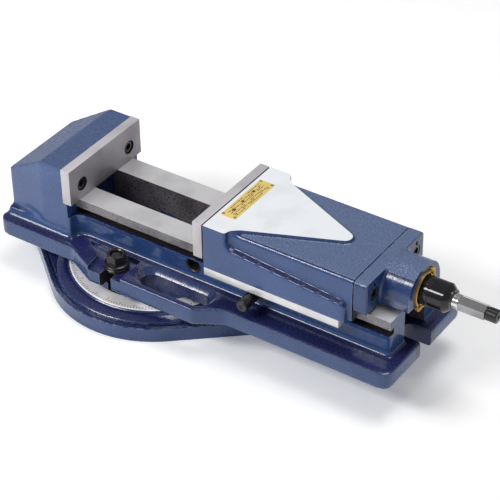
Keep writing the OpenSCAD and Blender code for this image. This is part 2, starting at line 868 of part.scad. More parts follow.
module lead_screw() {
    color([0.45, 0.46, 0.48]) difference() {
        union() {
            spindle_rod(screw_r, x_screw_front, x_collar);
            spindle_rod(collar_r, x_collar, x_collar + collar_t);
            spindle_rod(journal_r, x_collar, screw_tail_end);
        }
        // Ram cylinder, piston cylinder and the room for the piston's nut
        spindle_rod(ram_r + run_fit, x_screw_front - 1, ram_bore_end);
        spindle_rod(piston_r + run_fit, ram_bore_end - 1, piston_bore_end + 1);
        spindle_rod(piston_head_r + run_fit, piston_bore_end, screw_tail_end + 1);
        // Race for the clutch balls in the tail face
        translate([x_ball, 0, z_axis]) rotate([0, 90, 0]) rotate_extrude()
            translate([ball_circle, 0]) circle(r = ball_r + 0.1, $fn = 32);
    }
}

module booster_ram() {
    color([0.62, 0.62, 0.65]) difference() {
        union() {
            spindle_rod(ram_r, x_ram_shoulder, x_ram_front + ram_len);
            spindle_rod(ram_rod_r, x_ram_front, x_ram_shoulder + 1);
        }
        spindle_ring(ram_r + 1, ram_r - seal_depth, x_ram_front + ram_len - 10, seal_w);
    }
}

// Ring-shaped cutter or seal about the spindle axis
module spindle_ring(r_out, r_in, x0, width) {
    difference() {
        spindle_rod(r_out, x0, x0 + width);
        spindle_rod(r_in, x0 - 1, x0 + width + 1);
    }
}

module ram_seal() {
    color([0.08, 0.08, 0.08])
        spindle_ring(ram_r, ram_r - seal_depth, x_ram_front + ram_len - 10, seal_w);
}

module ram_springs() {
    color([0.50, 0.50, 0.52]) for (i = [0 : ram_spring_count - 1])
        spindle_ring(ram_r - slide_gap, ram_rod_r + slide_gap, x_ram_spring + i * spring_pitch, spring_t);
}

module ram_retainer() {
    color([0.30, 0.30, 0.32]) spindle_ring(ram_r, ram_rod_r + run_fit, x_screw_front, retainer_t);
}

module primary_piston() {
    x_front = x_piston_head - piston_len;
    color([0.62, 0.62, 0.65]) difference() {
        union() {
            spindle_rod(piston_r, x_front, x_piston_head + 1);
            spindle_rod(piston_head_r, x_piston_head, x_piston_head + piston_head_len);
        }
        spindle_rod(tail_r + run_fit, x_piston_head + 4, x_piston_head + piston_head_len + 1);
        spindle_ring(piston_r + 1, piston_r - seal_depth / 2, x_front + 4, seal_w);
    }
}

module piston_seal() {
    color([0.08, 0.08, 0.08])
        spindle_ring(piston_r, piston_r - seal_depth / 2, x_piston_head - piston_len + 4, seal_w);
}

module clutch_sleeve() {
    x1 = x_sleeve + sleeve_len;
    color([0.09, 0.09, 0.10]) difference() {
        union() {
            spindle_rod(sleeve_r, x_sleeve, x1);
            translate([x1, 0, z_axis]) rotate([0, 90, 0])
                cylinder(r1 = sleeve_r, r2 = neck_r + 3.5, h = sleeve_nose);
        }
        spindle_rod(journal_r, x_sleeve - 1, x_clutch);
        spindle_rod(sleeve_bore_r, screw_tail_end, x1 - 3);
        spindle_rod(neck_r + 1.5, x1 - 4, x_sleeve_end + 1);
    }
}

module shaft_bush() {
    color([0.72, 0.52, 0.25]) difference() {
        spindle_rod(neck_r + 1.5, x_sleeve + sleeve_len - 3, x_sleeve_end);
        spindle_rod(neck_r + run_fit, x_sleeve + sleeve_len - 4, x_sleeve_end + 1);
    }
}

module clutch_balls() {
    color([0.75, 0.75, 0.77]) at_clutch_balls() sphere(r = ball_r, $fn = 32);
}

// Children at the centre of each clutch ball
module at_clutch_balls() {
    for (i = [0 : ball_count - 1]) translate([x_ball, 0, z_axis]) rotate([i * 360 / ball_count, 0, 0])
        translate([0, 0, ball_circle]) children();
}

module clutch_springs() {
    x0 = x_clutch + clutch_t + slide_gap;
    color([0.50, 0.50, 0.52]) for (i = [0 : clutch_spring_count - 1])
        spindle_ring(sleeve_bore_r - slide_gap, neck_r + slide_gap, x0 + i * 2.2, spring_t);
}

module drive_shaft() {
    x_tail = x_piston_head + piston_travel + 6;
    x_hex_end = x_hex + hex_len;
    color([0.55, 0.55, 0.57]) difference() {
        union() {
            spindle_rod(tail_r, x_tail, x_clutch + 1);
            spindle_rod(clutch_r, x_clutch, x_clutch + clutch_t);
            spindle_rod(neck_r, x_clutch, x_hex);
            translate([x_hex, 0, z_axis]) rotate([0, 90, 0]) hex_prism(hex_af, hex_len);
            spindle_rod(neck_end_r - 1, x_hex_end - 1, x_hex_end + groove_len + 1);
            spindle_rod(neck_end_r, x_hex_end + groove_len, x_hex_end + groove_len + tip_len);
        }
        at_clutch_balls() sphere(r = ball_r + run_fit, $fn = 32);
    }
}

swivel_base();
swivel_pivot();
clamp_t_bolts();
clamp_washers();
clamp_nut_near();
clamp_nut_far();
vise_body();
fixed_jaw_plate();
fixed_jaw_screws();
nut_block();
lead_nut();
nut_set_screws();
locating_pin();
movable_jaw();
movable_jaw_plate();
movable_jaw_screws();
near_keeper();
far_keeper();
keeper_screws();
rating_plate();
rating_plate_rivets();
pressure_pad();
rear_flange();
flange_screws();
flange_dowels();
spindle_bush();
retaining_ring();
ring_screws();
thrust_washers();
thrust_rollers();
lead_screw();
clutch_sleeve();
shaft_bush();
clutch_balls();
clutch_springs();
booster_ram();
ram_seal();
ram_springs();
ram_retainer();
primary_piston();
piston_seal();
drive_shaft();
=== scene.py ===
import logging
import math
from dataclasses import dataclass, field
from enum import Enum
from typing import Callable, Sequence

import bmesh
import bpy
from mathutils import Matrix, Vector


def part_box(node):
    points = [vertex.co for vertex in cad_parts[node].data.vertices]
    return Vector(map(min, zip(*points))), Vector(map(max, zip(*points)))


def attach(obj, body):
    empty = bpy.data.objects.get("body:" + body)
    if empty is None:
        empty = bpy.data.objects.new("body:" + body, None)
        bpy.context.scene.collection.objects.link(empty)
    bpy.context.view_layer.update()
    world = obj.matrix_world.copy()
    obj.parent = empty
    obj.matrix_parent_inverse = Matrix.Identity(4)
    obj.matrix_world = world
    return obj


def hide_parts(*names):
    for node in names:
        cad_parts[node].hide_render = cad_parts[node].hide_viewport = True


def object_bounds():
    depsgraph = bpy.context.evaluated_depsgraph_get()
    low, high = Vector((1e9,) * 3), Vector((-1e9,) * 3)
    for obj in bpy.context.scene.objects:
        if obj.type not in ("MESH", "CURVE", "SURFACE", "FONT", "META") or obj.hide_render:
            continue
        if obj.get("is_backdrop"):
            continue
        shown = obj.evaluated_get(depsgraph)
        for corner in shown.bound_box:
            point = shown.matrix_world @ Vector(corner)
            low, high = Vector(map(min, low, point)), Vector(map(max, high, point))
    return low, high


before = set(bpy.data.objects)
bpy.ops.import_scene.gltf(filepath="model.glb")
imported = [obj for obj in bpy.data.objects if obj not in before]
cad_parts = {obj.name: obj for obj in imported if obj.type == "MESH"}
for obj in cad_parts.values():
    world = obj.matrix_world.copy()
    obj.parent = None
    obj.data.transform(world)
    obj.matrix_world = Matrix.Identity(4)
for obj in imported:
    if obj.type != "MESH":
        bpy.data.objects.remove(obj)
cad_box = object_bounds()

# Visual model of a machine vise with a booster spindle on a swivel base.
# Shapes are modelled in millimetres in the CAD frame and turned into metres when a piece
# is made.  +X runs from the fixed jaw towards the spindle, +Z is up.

log = logging.getLogger("vise")
MM = 0.001
POLE_GAP = 2e-3  # vertices closer than this, in millimetres, are one pole of a turned shape
FAR = 140.0  # reach in millimetres of a cutter that passes the whole vise's side
HIGH = 300.0  # height in millimetres above everything
Point = tuple[float, float]
Corner = tuple[float, float, float]


class Axis(Enum):
    """Direction that a turned or extruded shape runs along."""

    X = "X"
    Y = "Y"
    Z = "Z"

    def turn(self) -> Matrix:
        """Gives the rotation that takes +Z onto this axis.

        Returns:
            The rotation matrix.
        """
        return {
            Axis.X: Matrix.Rotation(math.pi / 2, 4, "Y"),
            Axis.Y: Matrix.Rotation(-math.pi / 2, 4, "X"),
            Axis.Z: Matrix.Identity(4),
        }[self]


def low_of(node: str) -> Vector:
    """Lowest corner of a CAD node in millimetres."""
    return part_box(node)[0] / MM


def high_of(node: str) -> Vector:
    """Highest corner of a CAD node in millimetres."""
    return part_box(node)[1] / MM


def arc(centre: Point, radius: float, start: float, end: float, steps: int) -> list[Point]:
    """Points along an arc.

    Args:
        centre: Centre of the arc.
        radius: Its radius.
        start: First angle in degrees.
        end: Last angle in degrees.
        steps: Number of equal steps between the two.

    Returns:
        The points from start to end, both included.
    """
    turns = (math.radians(start + (end - start) * i / steps) for i in range(steps + 1))
    return [(centre[0] + radius * math.cos(t), centre[1] + radius * math.sin(t)) for t in turns]


def mirrored(outline: Sequence[Point]) -> list[Point]:
    """A plan outline, (x, y), followed by its mirror image, as one closed outline."""
    return list(outline) + [(x, -y) for x, y in reversed(outline)]


def section(outline: Sequence[Point]) -> list[Point]:
    """A cross-section, (y, z), followed by its mirror image, as one closed outline."""
    return list(outline) + [(-y, z) for y, z in reversed(outline)]


class Solid:
    """A closed shape while it is modelled, in millimetres in the vise's frame."""

    def __init__(self) -> None:
        """Starts with nothing in it."""
        self.bm = bmesh.new()

    def _transform(self, verts: Sequence[bmesh.types.BMVert], matrix: Matrix) -> None:
        """Moves some of the shape's vertices."""
        bmesh.ops.transform(self.bm, matrix=matrix, verts=list(verts))

    def _round_edges(self, verts: Sequence[bmesh.types.BMVert], radius: float, segments: int) -> None:
        """Rounds every edge between the given vertices.

        Args:
            verts: The vertices.
            radius: Radius that the edges are rounded to.
            segments: Number of facets across a rounded edge.
        """
        chosen = set(verts)
        edges = [e for e in self.bm.edges if e.verts[0] in chosen and e.verts[1] in chosen]
        bmesh.ops.bevel(
            self.bm, geom=edges, offset=radius, offset_type="OFFSET", segments=segments,
            profile=0.5, affect="EDGES", clamp_overlap=True, material=-1,
        )

    def box(self, low: Corner, high: Corner, radius: float = 0.0, segments: int = 2) -> "Solid":
        """Adds a block.

        Args:
            low: Its lowest corner.
            high: Its highest corner.
            radius: Radius that its edges are rounded to.
            segments: Number of facets across a rounded edge.

        Returns:
            The solid itself.
        """
        size = Vector(high) - Vector(low)
        centre = (Vector(high) + Vector(low)) / 2
        verts = bmesh.ops.create_cube(self.bm, size=1.0)["verts"]
        self._transform(verts, Matrix.Translation(centre) @ Matrix.Diagonal((*size, 1.0)))
        if radius:
            self._round_edges(verts, radius, segments)
        return self

    def prism(self, outline: Sequence[Point], start: float, end: float, axis: Axis = Axis.Z) -> "Solid":
        """Adds an outline extruded along an axis.

        Args:
            outline: Its corners: (x, y) along Z, (x, z) along Y and (y, z) along X.
            start: Where it starts on the axis.
            end: Where it ends.
            axis: The direction of extrusion.

        Returns:
            The solid itself.
        """
        place = {
            Axis.Z: lambda a, b: (a, b, start),
            Axis.Y: lambda a, b: (a, start, b),
            Axis.X: lambda a, b: (start, a, b),
        }[axis]
        first = [self.bm.verts.new(place(a, b)) for a, b in outline]
        face = self.bm.faces.new(first)
        grown = bmesh.ops.extrude_face_region(self.bm, geom=[face], use_keep_orig=True)["geom"]
        last = [v for v in grown if isinstance(v, bmesh.types.BMVert)]
        shift = Vector({Axis.X: (1, 0, 0), Axis.Y: (0, 1, 0), Axis.Z: (0, 0, 1)}[axis]) * (end - start)
        bmesh.ops.translate(self.bm, vec=shift, verts=last)
        faces = list({f for v in first + last for f in v.link_faces})
        bmesh.ops.recalc_face_normals(self.bm, faces=faces)
        return self

    def lathe(
        self, profile: Sequence[Point], centre: Corner = (0, 0, 0), axis: Axis = Axis.Z,
        steps: int = 64, ring: bool = False,
    ) -> "Solid":
        """Adds a turned shape.

        Args:
            profile: Points (distance along the axis, radius).
            centre: Point on the axis that the distances count from.
            axis: The axis it turns about.
            steps: Number of facets around.
            ring: Whether the profile closes on itself, instead of ending on the axis.

        Returns:
            The solid itself.
        """
        verts = [self.bm.verts.new((r, 0, along)) for along, r in profile]
        edges = [self.bm.edges.new(pair) for pair in zip(verts, verts[1:])]
        if ring:
            edges.append(self.bm.edges.new((verts[-1], verts[0])))
        before = set(self.bm.verts) - set(verts)
        bmesh.ops.spin(
            self.bm, geom=verts + edges, cent=(0, 0, 0), axis=(0, 0, 1), angle=2 * math.pi,
            steps=steps, use_merge=True, use_duplicate=False,
        )
        made = [v for v in self.bm.verts if v not in before]
        bmesh.ops.remove_doubles(self.bm, verts=made, dist=POLE_GAP)
        made = [v for v in self.bm.verts if v not in before]
        faces = list({f for v in made for f in v.link_faces})
        bmesh.ops.recalc_face_normals(self.bm, faces=faces)
        self._transform(made, Matrix.Translation(centre) @ axis.turn())
        return self

    def rod(
        self, start: Corner, length: float, radius: float, axis: Axis = Axis.Z, steps: int = 64,
        end_radius: float | None = None,
    ) -> "Solid":
        """Adds a plain rod or cone.

        Args:
            start: Centre of its first end.
            length: Its length along the axis.
            radius: Its radius.
            axis: The axis that it runs along.
            steps: Number of facets around.
            end_radius: Radius at the far end, where it differs.

        Returns:
            The solid itself.
        """
        last = radius if end_radius is None else end_radius
        return self.lathe([(0, 0), (0, radius), (length, last), (length, 0)], start, axis, steps)

    def copied(self, matrix: Matrix) -> "Solid":
        """Adds a transformed copy of all there is so far.

        Args:
            matrix: Takes a point to its place in the copy.

        Returns:
            The solid itself.
        """
        geom = list(self.bm.verts) + list(self.bm.edges) + list(self.bm.faces)
        made = bmesh.ops.duplicate(self.bm, geom=geom)["geom"]
        self._transform([v for v in made if isinstance(v, bmesh.types.BMVert)], matrix)
        if matrix.determinant() < 0:
            bmesh.ops.reverse_faces(self.bm, faces=[f for f in made if isinstance(f, bmesh.types.BMFace)])
        return self

    def both_sides(self) -> "Solid":
        """Adds the mirror image across the centre plane."""
        return self.copied(Matrix.Scale(-1, 4, (0, 1, 0)))

    def moved(self, matrix: Matrix) -> "Solid":
        """Moves all there is so far."""
        self._transform(list(self.bm.verts), matrix)
        return self

    def add(self, other: "Solid") -> "Solid":
        """Takes another solid's shapes in.

        Args:
            other: The solid, which stays as it is.

        Returns:
            The solid itself.
        """
        mesh = other._mesh()
        self.bm.from_mesh(mesh)
        bpy.data.meshes.remove(mesh)
        return self

    def _mesh(self) -> bpy.types.Mesh:
        """Copies the shape to a mesh, still in millimetres.

        Returns:
            The mesh.
        """
        mesh = bpy.data.meshes.new("working")
        self.bm.to_mesh(mesh)
        return mesh

    def _evaluate(self, prepare: Callable[[bpy.types.Object], None]) -> "Solid":
        """Replaces the shape by what modifiers make of it.

        Args:
            prepare: Adds the modifiers to a working object.

        Returns:
            The solid itself.
        """
        work = bpy.data.objects.new("working", self._mesh())
        bpy.context.scene.collection.objects.link(work)
        prepare(work)
        bpy.context.view_layer.update()
        made = work.evaluated_get(bpy.context.evaluated_depsgraph_get()).to_mesh()
        self.bm.clear()
        self.bm.from_mesh(made)
        bpy.data.objects.remove(work)
        return self

    def cast(self, voxel: float, relax: int) -> "Solid":
        """Fuses the overlapping shapes into one skin with cast rounds and fillets.

        Args:
            voxel: Size of the grid that the skin is drawn on.
            relax: Rounds of smoothing, which set the radius of the edges.

        Returns:
            The solid itself.
        """

        def prepare(work: bpy.types.Object) -> None:
            """Adds the voxel skin and its smoothing.

            Args:
                work: The object that gets them.
            """
            skin = work.modifiers.new("skin", "REMESH")
            skin.mode = "VOXEL"
            skin.voxel_size = voxel
            skin.use_smooth_shade = True
            soft = work.modifiers.new("soft", "SMOOTH")
            soft.factor = 0.5
            soft.iterations = relax

        return self._evaluate(prepare)

    def cut(self, *tools: "Solid", join: bool = False) -> "Solid":
        """Cuts other solids away, one after another, or joins them on.

        Args:
            tools: The other solids.
            join: Whether they are joined on instead.

        Returns:
            The solid itself.
        """
        for tool in tools:
            helper = bpy.data.objects.new("tool", tool._mesh())
            bpy.context.scene.collection.objects.link(helper)

            def prepare(work: bpy.types.Object, other: bpy.types.Object = helper) -> None:
                """Adds the boolean.

                Args:
                    work: The object that is cut.
                    other: The object that cuts it.
                """
                knife = work.modifiers.new("knife", "BOOLEAN")
                knife.operation = "UNION" if join else "DIFFERENCE"
                knife.solver = "MANIFOLD"
                knife.object = other

            self._evaluate(prepare)
            bpy.data.objects.remove(helper)
        return self


# ---------------------------------------------------------------- shader groups


class ShaderGroup:
    """Base of the shared effects: a node group that is built once and placed in each material."""

    name = "group"
    inputs: dict[str, float] = {}
    outputs: tuple[str, ...] = ()

    def __init__(self) -> None:
        """Builds the group's sockets and its inside."""
        self.tree = bpy.data.node_groups.new(self.name, "ShaderNodeTree")
        for label, value in self.inputs.items():
            socket = self.tree.interface.new_socket(name=label, in_out="INPUT", socket_type="NodeSocketFloat")
            socket.default_value = value
        for label in self.outputs:
            self.tree.interface.new_socket(name=label, in_out="OUTPUT", socket_type="NodeSocketFloat")
        self.start = self.tree.nodes.new("NodeGroupInput")
        self.end = self.tree.nodes.new("NodeGroupOutput")
        self.build()

    def build(self) -> None:
        """Fills the group; each effect has its own."""

    def node(self, kind: str, **settings: object) -> bpy.types.Node:
        """Adds a node and sets its plain properties.

        Args:
            kind: Type of the node.
            settings: Its properties by name.

        Returns:
            The node.
        """
        made = self.tree.nodes.new(kind)
        for label, value in settings.items():
            setattr(made, label, value)
        return made

    def link(self, source: bpy.types.NodeSocket, target: bpy.types.NodeSocket) -> None:
        """Links two sockets."""
        self.tree.links.new(source, target)

    def math(self, operation: str, first: object, second: object = 0.0) -> bpy.types.NodeSocket:
        """Adds a Math node.

        Args:
            operation: What it does.
            first: First operand, a socket or a number.
            second: Second operand, likewise.

        Returns:
            The result's socket.
        """
        made = self.node("ShaderNodeMath", operation=operation)
        for index, value in enumerate((first, second)):
            if isinstance(value, bpy.types.NodeSocket):
                self.link(value, made.inputs[index])
            else:
                made.inputs[index].default_value = float(value)
        return made.outputs[0]

    def noise(self, vector: bpy.types.NodeSocket, scale: object, detail: float = 2.0) -> bpy.types.NodeSocket:
        """Adds a Noise Texture.

        Args:
            vector: The coordinates that it reads.
            scale: Its scale, a socket or a number.
            detail: Number of finer octaves.

        Returns:
            The socket of its grey value.
        """
        made = self.node("ShaderNodeTexNoise")
        self.link(vector, made.inputs["Vector"])
        if isinstance(scale, bpy.types.NodeSocket):
            self.link(scale, made.inputs["Scale"])
        else:
            made.inputs["Scale"].default_value = float(scale)
        made.inputs["Detail"].default_value = detail
        return made.outputs["Fac"]

    def ramp(self, value: bpy.types.NodeSocket, low: float, high: float) -> bpy.types.NodeSocket:
        """Stretches the part of a value between two limits to 0 to 1.

        Args:
            value: The value.
            low: What becomes 0.
            high: What becomes 1.

        Returns:
            The result's socket.
        """
        made = self.node("ShaderNodeMapRange", interpolation_type="SMOOTHSTEP")
        self.link(value, made.inputs["Value"])
        made.inputs["From Min"].default_value = low
        made.inputs["From Max"].default_value = high
        return made.outputs["Result"]

    def place(self) -> bpy.types.NodeSocket:
        """The piece's own coordinates."""
        return self.node("ShaderNodeTexCoord").outputs["Object"]


class HammeredSkin(ShaderGroup):
    """Orange peel and hammered speckle of thick enamel on a casting."""

    name = "hammered_skin"
    inputs = {"Grain": 420.0, "Swell": 60.0}
    outputs = ("Height", "Speckle", "Tone")

    def build(self) -> None:
        """Mixes a fine grain, a slow swell and a drift of tone."""
        grain = self.noise(self.place(), self.start.outputs["Grain"], 1.5)
        swell = self.noise(self.place(), self.start.outputs["Swell"], 1.0)
        tone = self.noise(self.place(), 14.0, 3.0)
        height = self.math("ADD", self.math("MULTIPLY", grain, 0.45), self.math("MULTIPLY", swell, 0.55))
        self.link(height, self.end.inputs["Height"])
        self.link(self.ramp(grain, 0.44, 0.60), self.end.inputs["Speckle"])
        self.link(self.ramp(tone, 0.35, 0.7), self.end.inputs["Tone"])


class GroundLines(ShaderGroup):
    """Fine lines left by a grinding wheel or a lathe tool, stretched along one direction."""

    name = "ground_lines"
    inputs = {"Along X": 20.0, "Along Y": 1600.0, "Along Z": 1600.0}
    outputs = ("Lines", "Stain")

    def build(self) -> None:
        """Stretches two noises along the lines and adds faint stains."""
        stretch = self.node("ShaderNodeCombineXYZ")
        for axis in "XYZ":
            self.link(self.start.outputs[f"Along {axis}"], stretch.inputs[axis])
        scaled = self.node("ShaderNodeVectorMath", operation="MULTIPLY")
        self.link(self.place(), scaled.inputs[0])
        self.link(stretch.outputs[0], scaled.inputs[1])
        fine = self.noise(scaled.outputs[0], 1.0, 2.0)
        broad = self.noise(scaled.outputs[0], 0.22, 1.0)
        lines = self.math("ADD", self.math("MULTIPLY", fine, 0.6), self.math("MULTIPLY", broad, 0.4))
        self.link(lines, self.end.inputs["Lines"])
        self.link(self.ramp(self.noise(self.place(), 26.0, 4.0), 0.42, 0.72), self.end.inputs["Stain"])


class EdgeWear(ShaderGroup):
    """Where the finish has been rubbed along sharp edges."""

    name = "edge_wear"
    inputs = {"Radius": 0.001, "Break up": 180.0}
    outputs = ("Wear",)

    def build(self) -> None:
        """Compares the true normal with one rounded over the edge."""
        rounded = self.node("ShaderNodeBevel", samples=4)
        self.link(self.start.outputs["Radius"], rounded.inputs["Radius"])
        dot = self.node("ShaderNodeVectorMath", operation="DOT_PRODUCT")
        self.link(rounded.outputs["Normal"], dot.inputs[0])
        self.link(self.node("ShaderNodeNewGeometry").outputs["Normal"], dot.inputs[1])
        edge = self.ramp(self.math("SUBTRACT", 1.0, dot.outputs["Value"]), 0.05, 0.16)
        rough = self.ramp(self.noise(self.place(), self.start.outputs["Break up"], 3.0), 0.4, 0.62)
        self.link(self.math("MULTIPLY", edge, rough), self.end.inputs["Wear"])


class LevelShadeMask(ShaderGroup):
    """Upward faces, which get a painted shade."""

    name = "level_shade_mask"
    inputs = {"Start": 0.45, "Full": 0.92}
    outputs = ("Level",)

    def build(self) -> None:
        """Reads how far the surface looks upwards."""
        split = self.node("ShaderNodeSeparateXYZ")
        self.link(self.node("ShaderNodeNewGeometry").outputs["True Normal"], split.inputs[0])
        above = self.math("SUBTRACT", split.outputs["Z"], self.start.outputs["Start"])
        span = self.math("SUBTRACT", self.start.outputs["Full"], self.start.outputs["Start"])
        level = self.ramp(self.math("DIVIDE", above, span), 0.0, 1.0)
        # the painted shade is broken into patches by a noise
        patchy = self.math("MULTIPLY_ADD", self.noise(self.place(), 20.0, 3.0), 0.5)
        patchy.node.inputs[2].default_value = 0.72
        self.link(self.math("MULTIPLY", level, patchy), self.end.inputs["Level"])


class Pits(ShaderGroup):
    """Small dark pits and chips, as in oily or roughly machined metal."""

    name = "pits"
    inputs = {"Scale": 500.0, "Amount": 0.6}
    outputs = ("Pits",)

    def build(self) -> None:
        """Cuts a noise off above the amount."""
        grain = self.noise(self.place(), self.start.outputs["Scale"], 2.0)
        above = self.math("SUBTRACT", grain, self.start.outputs["Amount"])
        self.link(self.ramp(above, 0.0, 0.06), self.end.inputs["Pits"])


class Groups:
    """The shared shader groups, built once."""

    def __init__(self) -> None:
        """Builds every group."""
        self.hammered = HammeredSkin()
        self.lines = GroundLines()
        self.wear = EdgeWear()
        self.pits = Pits()
        self.level = LevelShadeMask()


# ---------------------------------------------------------------- finishes

Colour = tuple[float, float, float]


class Recipe:
    """A material under construction, with the helpers that the finishes share."""

    def __init__(self, name: str) -> None:
        """Starts a material with a Principled BSDF alone.

        Args:
            name: The material's name.
        """
        self.material = bpy.data.materials.new(name)
        self.material.use_nodes = True
        self.tree = self.material.node_tree
        self.shader = self.tree.nodes["Principled BSDF"]

    def place(self, group: ShaderGroup, **values: float) -> bpy.types.Node:
        """Places a shared group with its own values.

        Args:
            group: The group.
            values: Its inputs by name, with _ for a space.

        Returns:
            The group's node.
        """
        made = self.tree.nodes.new("ShaderNodeGroup")
        made.node_tree = group.tree
        for label, value in values.items():
            made.inputs[label.replace("_", " ")].default_value = value
        return made

    def blend(self, mask: bpy.types.NodeSocket, low: object, high: object) -> bpy.types.NodeSocket:
        """Mixes two colours by a mask.

        Args:
            mask: The mask.
            low: Where it is 0, a colour or a socket.
            high: Where it is 1, likewise.

        Returns:
            The mixed colour's socket.
        """
        made = self.tree.nodes.new("ShaderNodeMix")
        made.data_type = "RGBA"
        self.tree.links.new(mask, made.inputs[0])
        colours = [socket for socket in made.inputs if socket.type == "RGBA"]
        for socket, value in zip(colours, (low, high)):
            if isinstance(value, bpy.types.NodeSocket):
                self.tree.links.new(value, socket)
            else:
                socket.default_value = (*value, 1.0)
        return next(socket for socket in made.outputs if socket.type == "RGBA")

    def span(self, mask: bpy.types.NodeSocket, low: float, high: float) -> bpy.types.NodeSocket:
        """Spreads a mask between two numbers.

        Args:
            mask: The mask.
            low: What 0 becomes.
            high: What 1 becomes.

        Returns:
            The result's socket.
        """
        made = self.tree.nodes.new("ShaderNodeMapRange")
        self.tree.links.new(mask, made.inputs["Value"])
        made.inputs["To Min"].default_value = low
        made.inputs["To Max"].default_value = high
        return made.outputs["Result"]

    def feed(self, source: bpy.types.NodeSocket, socket: str) -> None:
        """Links a value to a socket of the shader."""
        self.tree.links.new(source, self.shader.inputs[socket])

    def bump(self, height: bpy.types.NodeSocket, distance: float) -> None:
        """Raises the surface by a height pattern.

        Args:
            height: The pattern.
            distance: How far 1 raises the surface, in metres.
        """
        made = self.tree.nodes.new("ShaderNodeBump")
        made.inputs["Distance"].default_value = distance
        made.inputs["Strength"].default_value = 1.0
        self.tree.links.new(height, made.inputs["Height"])
        self.tree.links.new(made.outputs["Normal"], self.shader.inputs["Normal"])

    def fixed(self, **values: float) -> None:
        """Sets plain values on the shader's own sockets."""
        for label, value in values.items():
            self.shader.inputs[label.replace("_", " ")].default_value = value


@dataclass(frozen=True)
class Enamel:
    """Blue machine enamel on a casting."""

    name: str = "blue_enamel"
    deep: Colour = (0.020, 0.058, 0.185)
    light: Colour = (0.032, 0.080, 0.232)
    # level: colour of the painted shade laid on upward faces
    level: Colour = (0.014, 0.017, 0.078)
    fleck: Colour = (0.022, 0.030, 0.085)
    worn: Colour = (0.26, 0.30, 0.40)
    roughness: tuple[float, float] = (0.16, 0.30)
    grain: float = 420.0
    relief: float = 0.00016
    flecks: float = 0.12
    coat: float = 0.18
    coat_roughness: float = 0.08
    wear_radius: float = 0.0011

    def make(self, groups: Groups) -> bpy.types.Material:
        """Builds the material.

        Args:
            groups: The shared shader groups.

        Returns:
            The material.
        """
        recipe = Recipe(self.name)
        skin = recipe.place(groups.hammered, Grain=self.grain)
        wear = recipe.place(groups.wear, Radius=self.wear_radius)
        level = recipe.place(groups.level)
        tone = recipe.blend(skin.outputs["Tone"], self.deep, self.light)
        # painted shade: upward faces are pulled towards the level colour
        tone = recipe.blend(level.outputs["Level"], tone, self.level)
        tone = recipe.blend(recipe.span(skin.outputs["Speckle"], 0.0, self.flecks), tone, self.fleck)
        recipe.feed(recipe.blend(wear.outputs["Wear"], tone, self.worn), "Base Color")
        recipe.feed(recipe.span(skin.outputs["Speckle"], *self.roughness), "Roughness")
        recipe.bump(skin.outputs["Height"], self.relief)
        recipe.fixed(Metallic=0.0, Coat_Weight=self.coat, Coat_Roughness=self.coat_roughness)
        return recipe.material


@dataclass(frozen=True)
class Steel:
    """Ground, milled or turned metal."""

    name: str
    colour: Colour
    dark: Colour
    roughness: tuple[float, float]
    stretch: Corner
    relief: float = 0.00002
    metallic: float = 1.0
    wear: float = 0.0
    wear_radius: float = 0.0006
    pits: float = 0.0
    pit_shade: float = 0.12

    def make(self, groups: Groups) -> bpy.types.Material:
        """Builds the material.

        Args:
            groups: The shared shader groups.

        Returns:
            The material.
        """
        recipe = Recipe(self.name)
        along = dict(zip(("Along_X", "Along_Y", "Along_Z"), self.stretch))
        lines = recipe.place(groups.lines, **along)
        colour = recipe.blend(lines.outputs["Stain"], self.colour, self.dark)
        if self.pits:
            pits = recipe.place(groups.pits, Amount=1.0 - self.pits)
            colour = recipe.blend(pits.outputs["Pits"], colour, tuple(c * self.pit_shade for c in self.dark))
        if self.wear:
            rubbed = recipe.place(groups.wear, Radius=self.wear_radius)
            bright = tuple(min(1.0, c + self.wear) for c in self.colour)
            colour = recipe.blend(rubbed.outputs["Wear"], colour, bright)
        recipe.feed(colour, "Base Color")
        recipe.feed(recipe.span(lines.outputs["Lines"], *self.roughness), "Roughness")
        recipe.bump(lines.outputs["Lines"], self.relief)
        recipe.fixed(Metallic=self.metallic)
        return recipe.material


@dataclass(frozen=True)
class Plain:
    """Rubber, print and other surfaces with a fine grain."""

    name: str
    colour: Colour
    dark: Colour
    roughness: tuple[float, float]
    metallic: float = 0.0
    grain: float = 900.0
    relief: float = 0.00003
    glow: float = 0.0

    def make(self, groups: Groups) -> bpy.types.Material:
        """Builds the material.

        Args:
            groups: The shared shader groups.

        Returns:
            The material.
        """
        recipe = Recipe(self.name)
        recipe.shader.inputs["Emission Color"].default_value = (1.0, 1.0, 1.0, 1.0)
        recipe.fixed(Emission_Strength=self.glow)
        skin = recipe.place(groups.hammered, Grain=self.grain)
        recipe.feed(recipe.blend(skin.outputs["Tone"], self.colour, self.dark), "Base Color")
        recipe.feed(recipe.span(skin.outputs["Speckle"], *self.roughness), "Roughness")
        recipe.bump(skin.outputs["Height"], self.relief)
        recipe.fixed(Metallic=self.metallic)
        return recipe.material


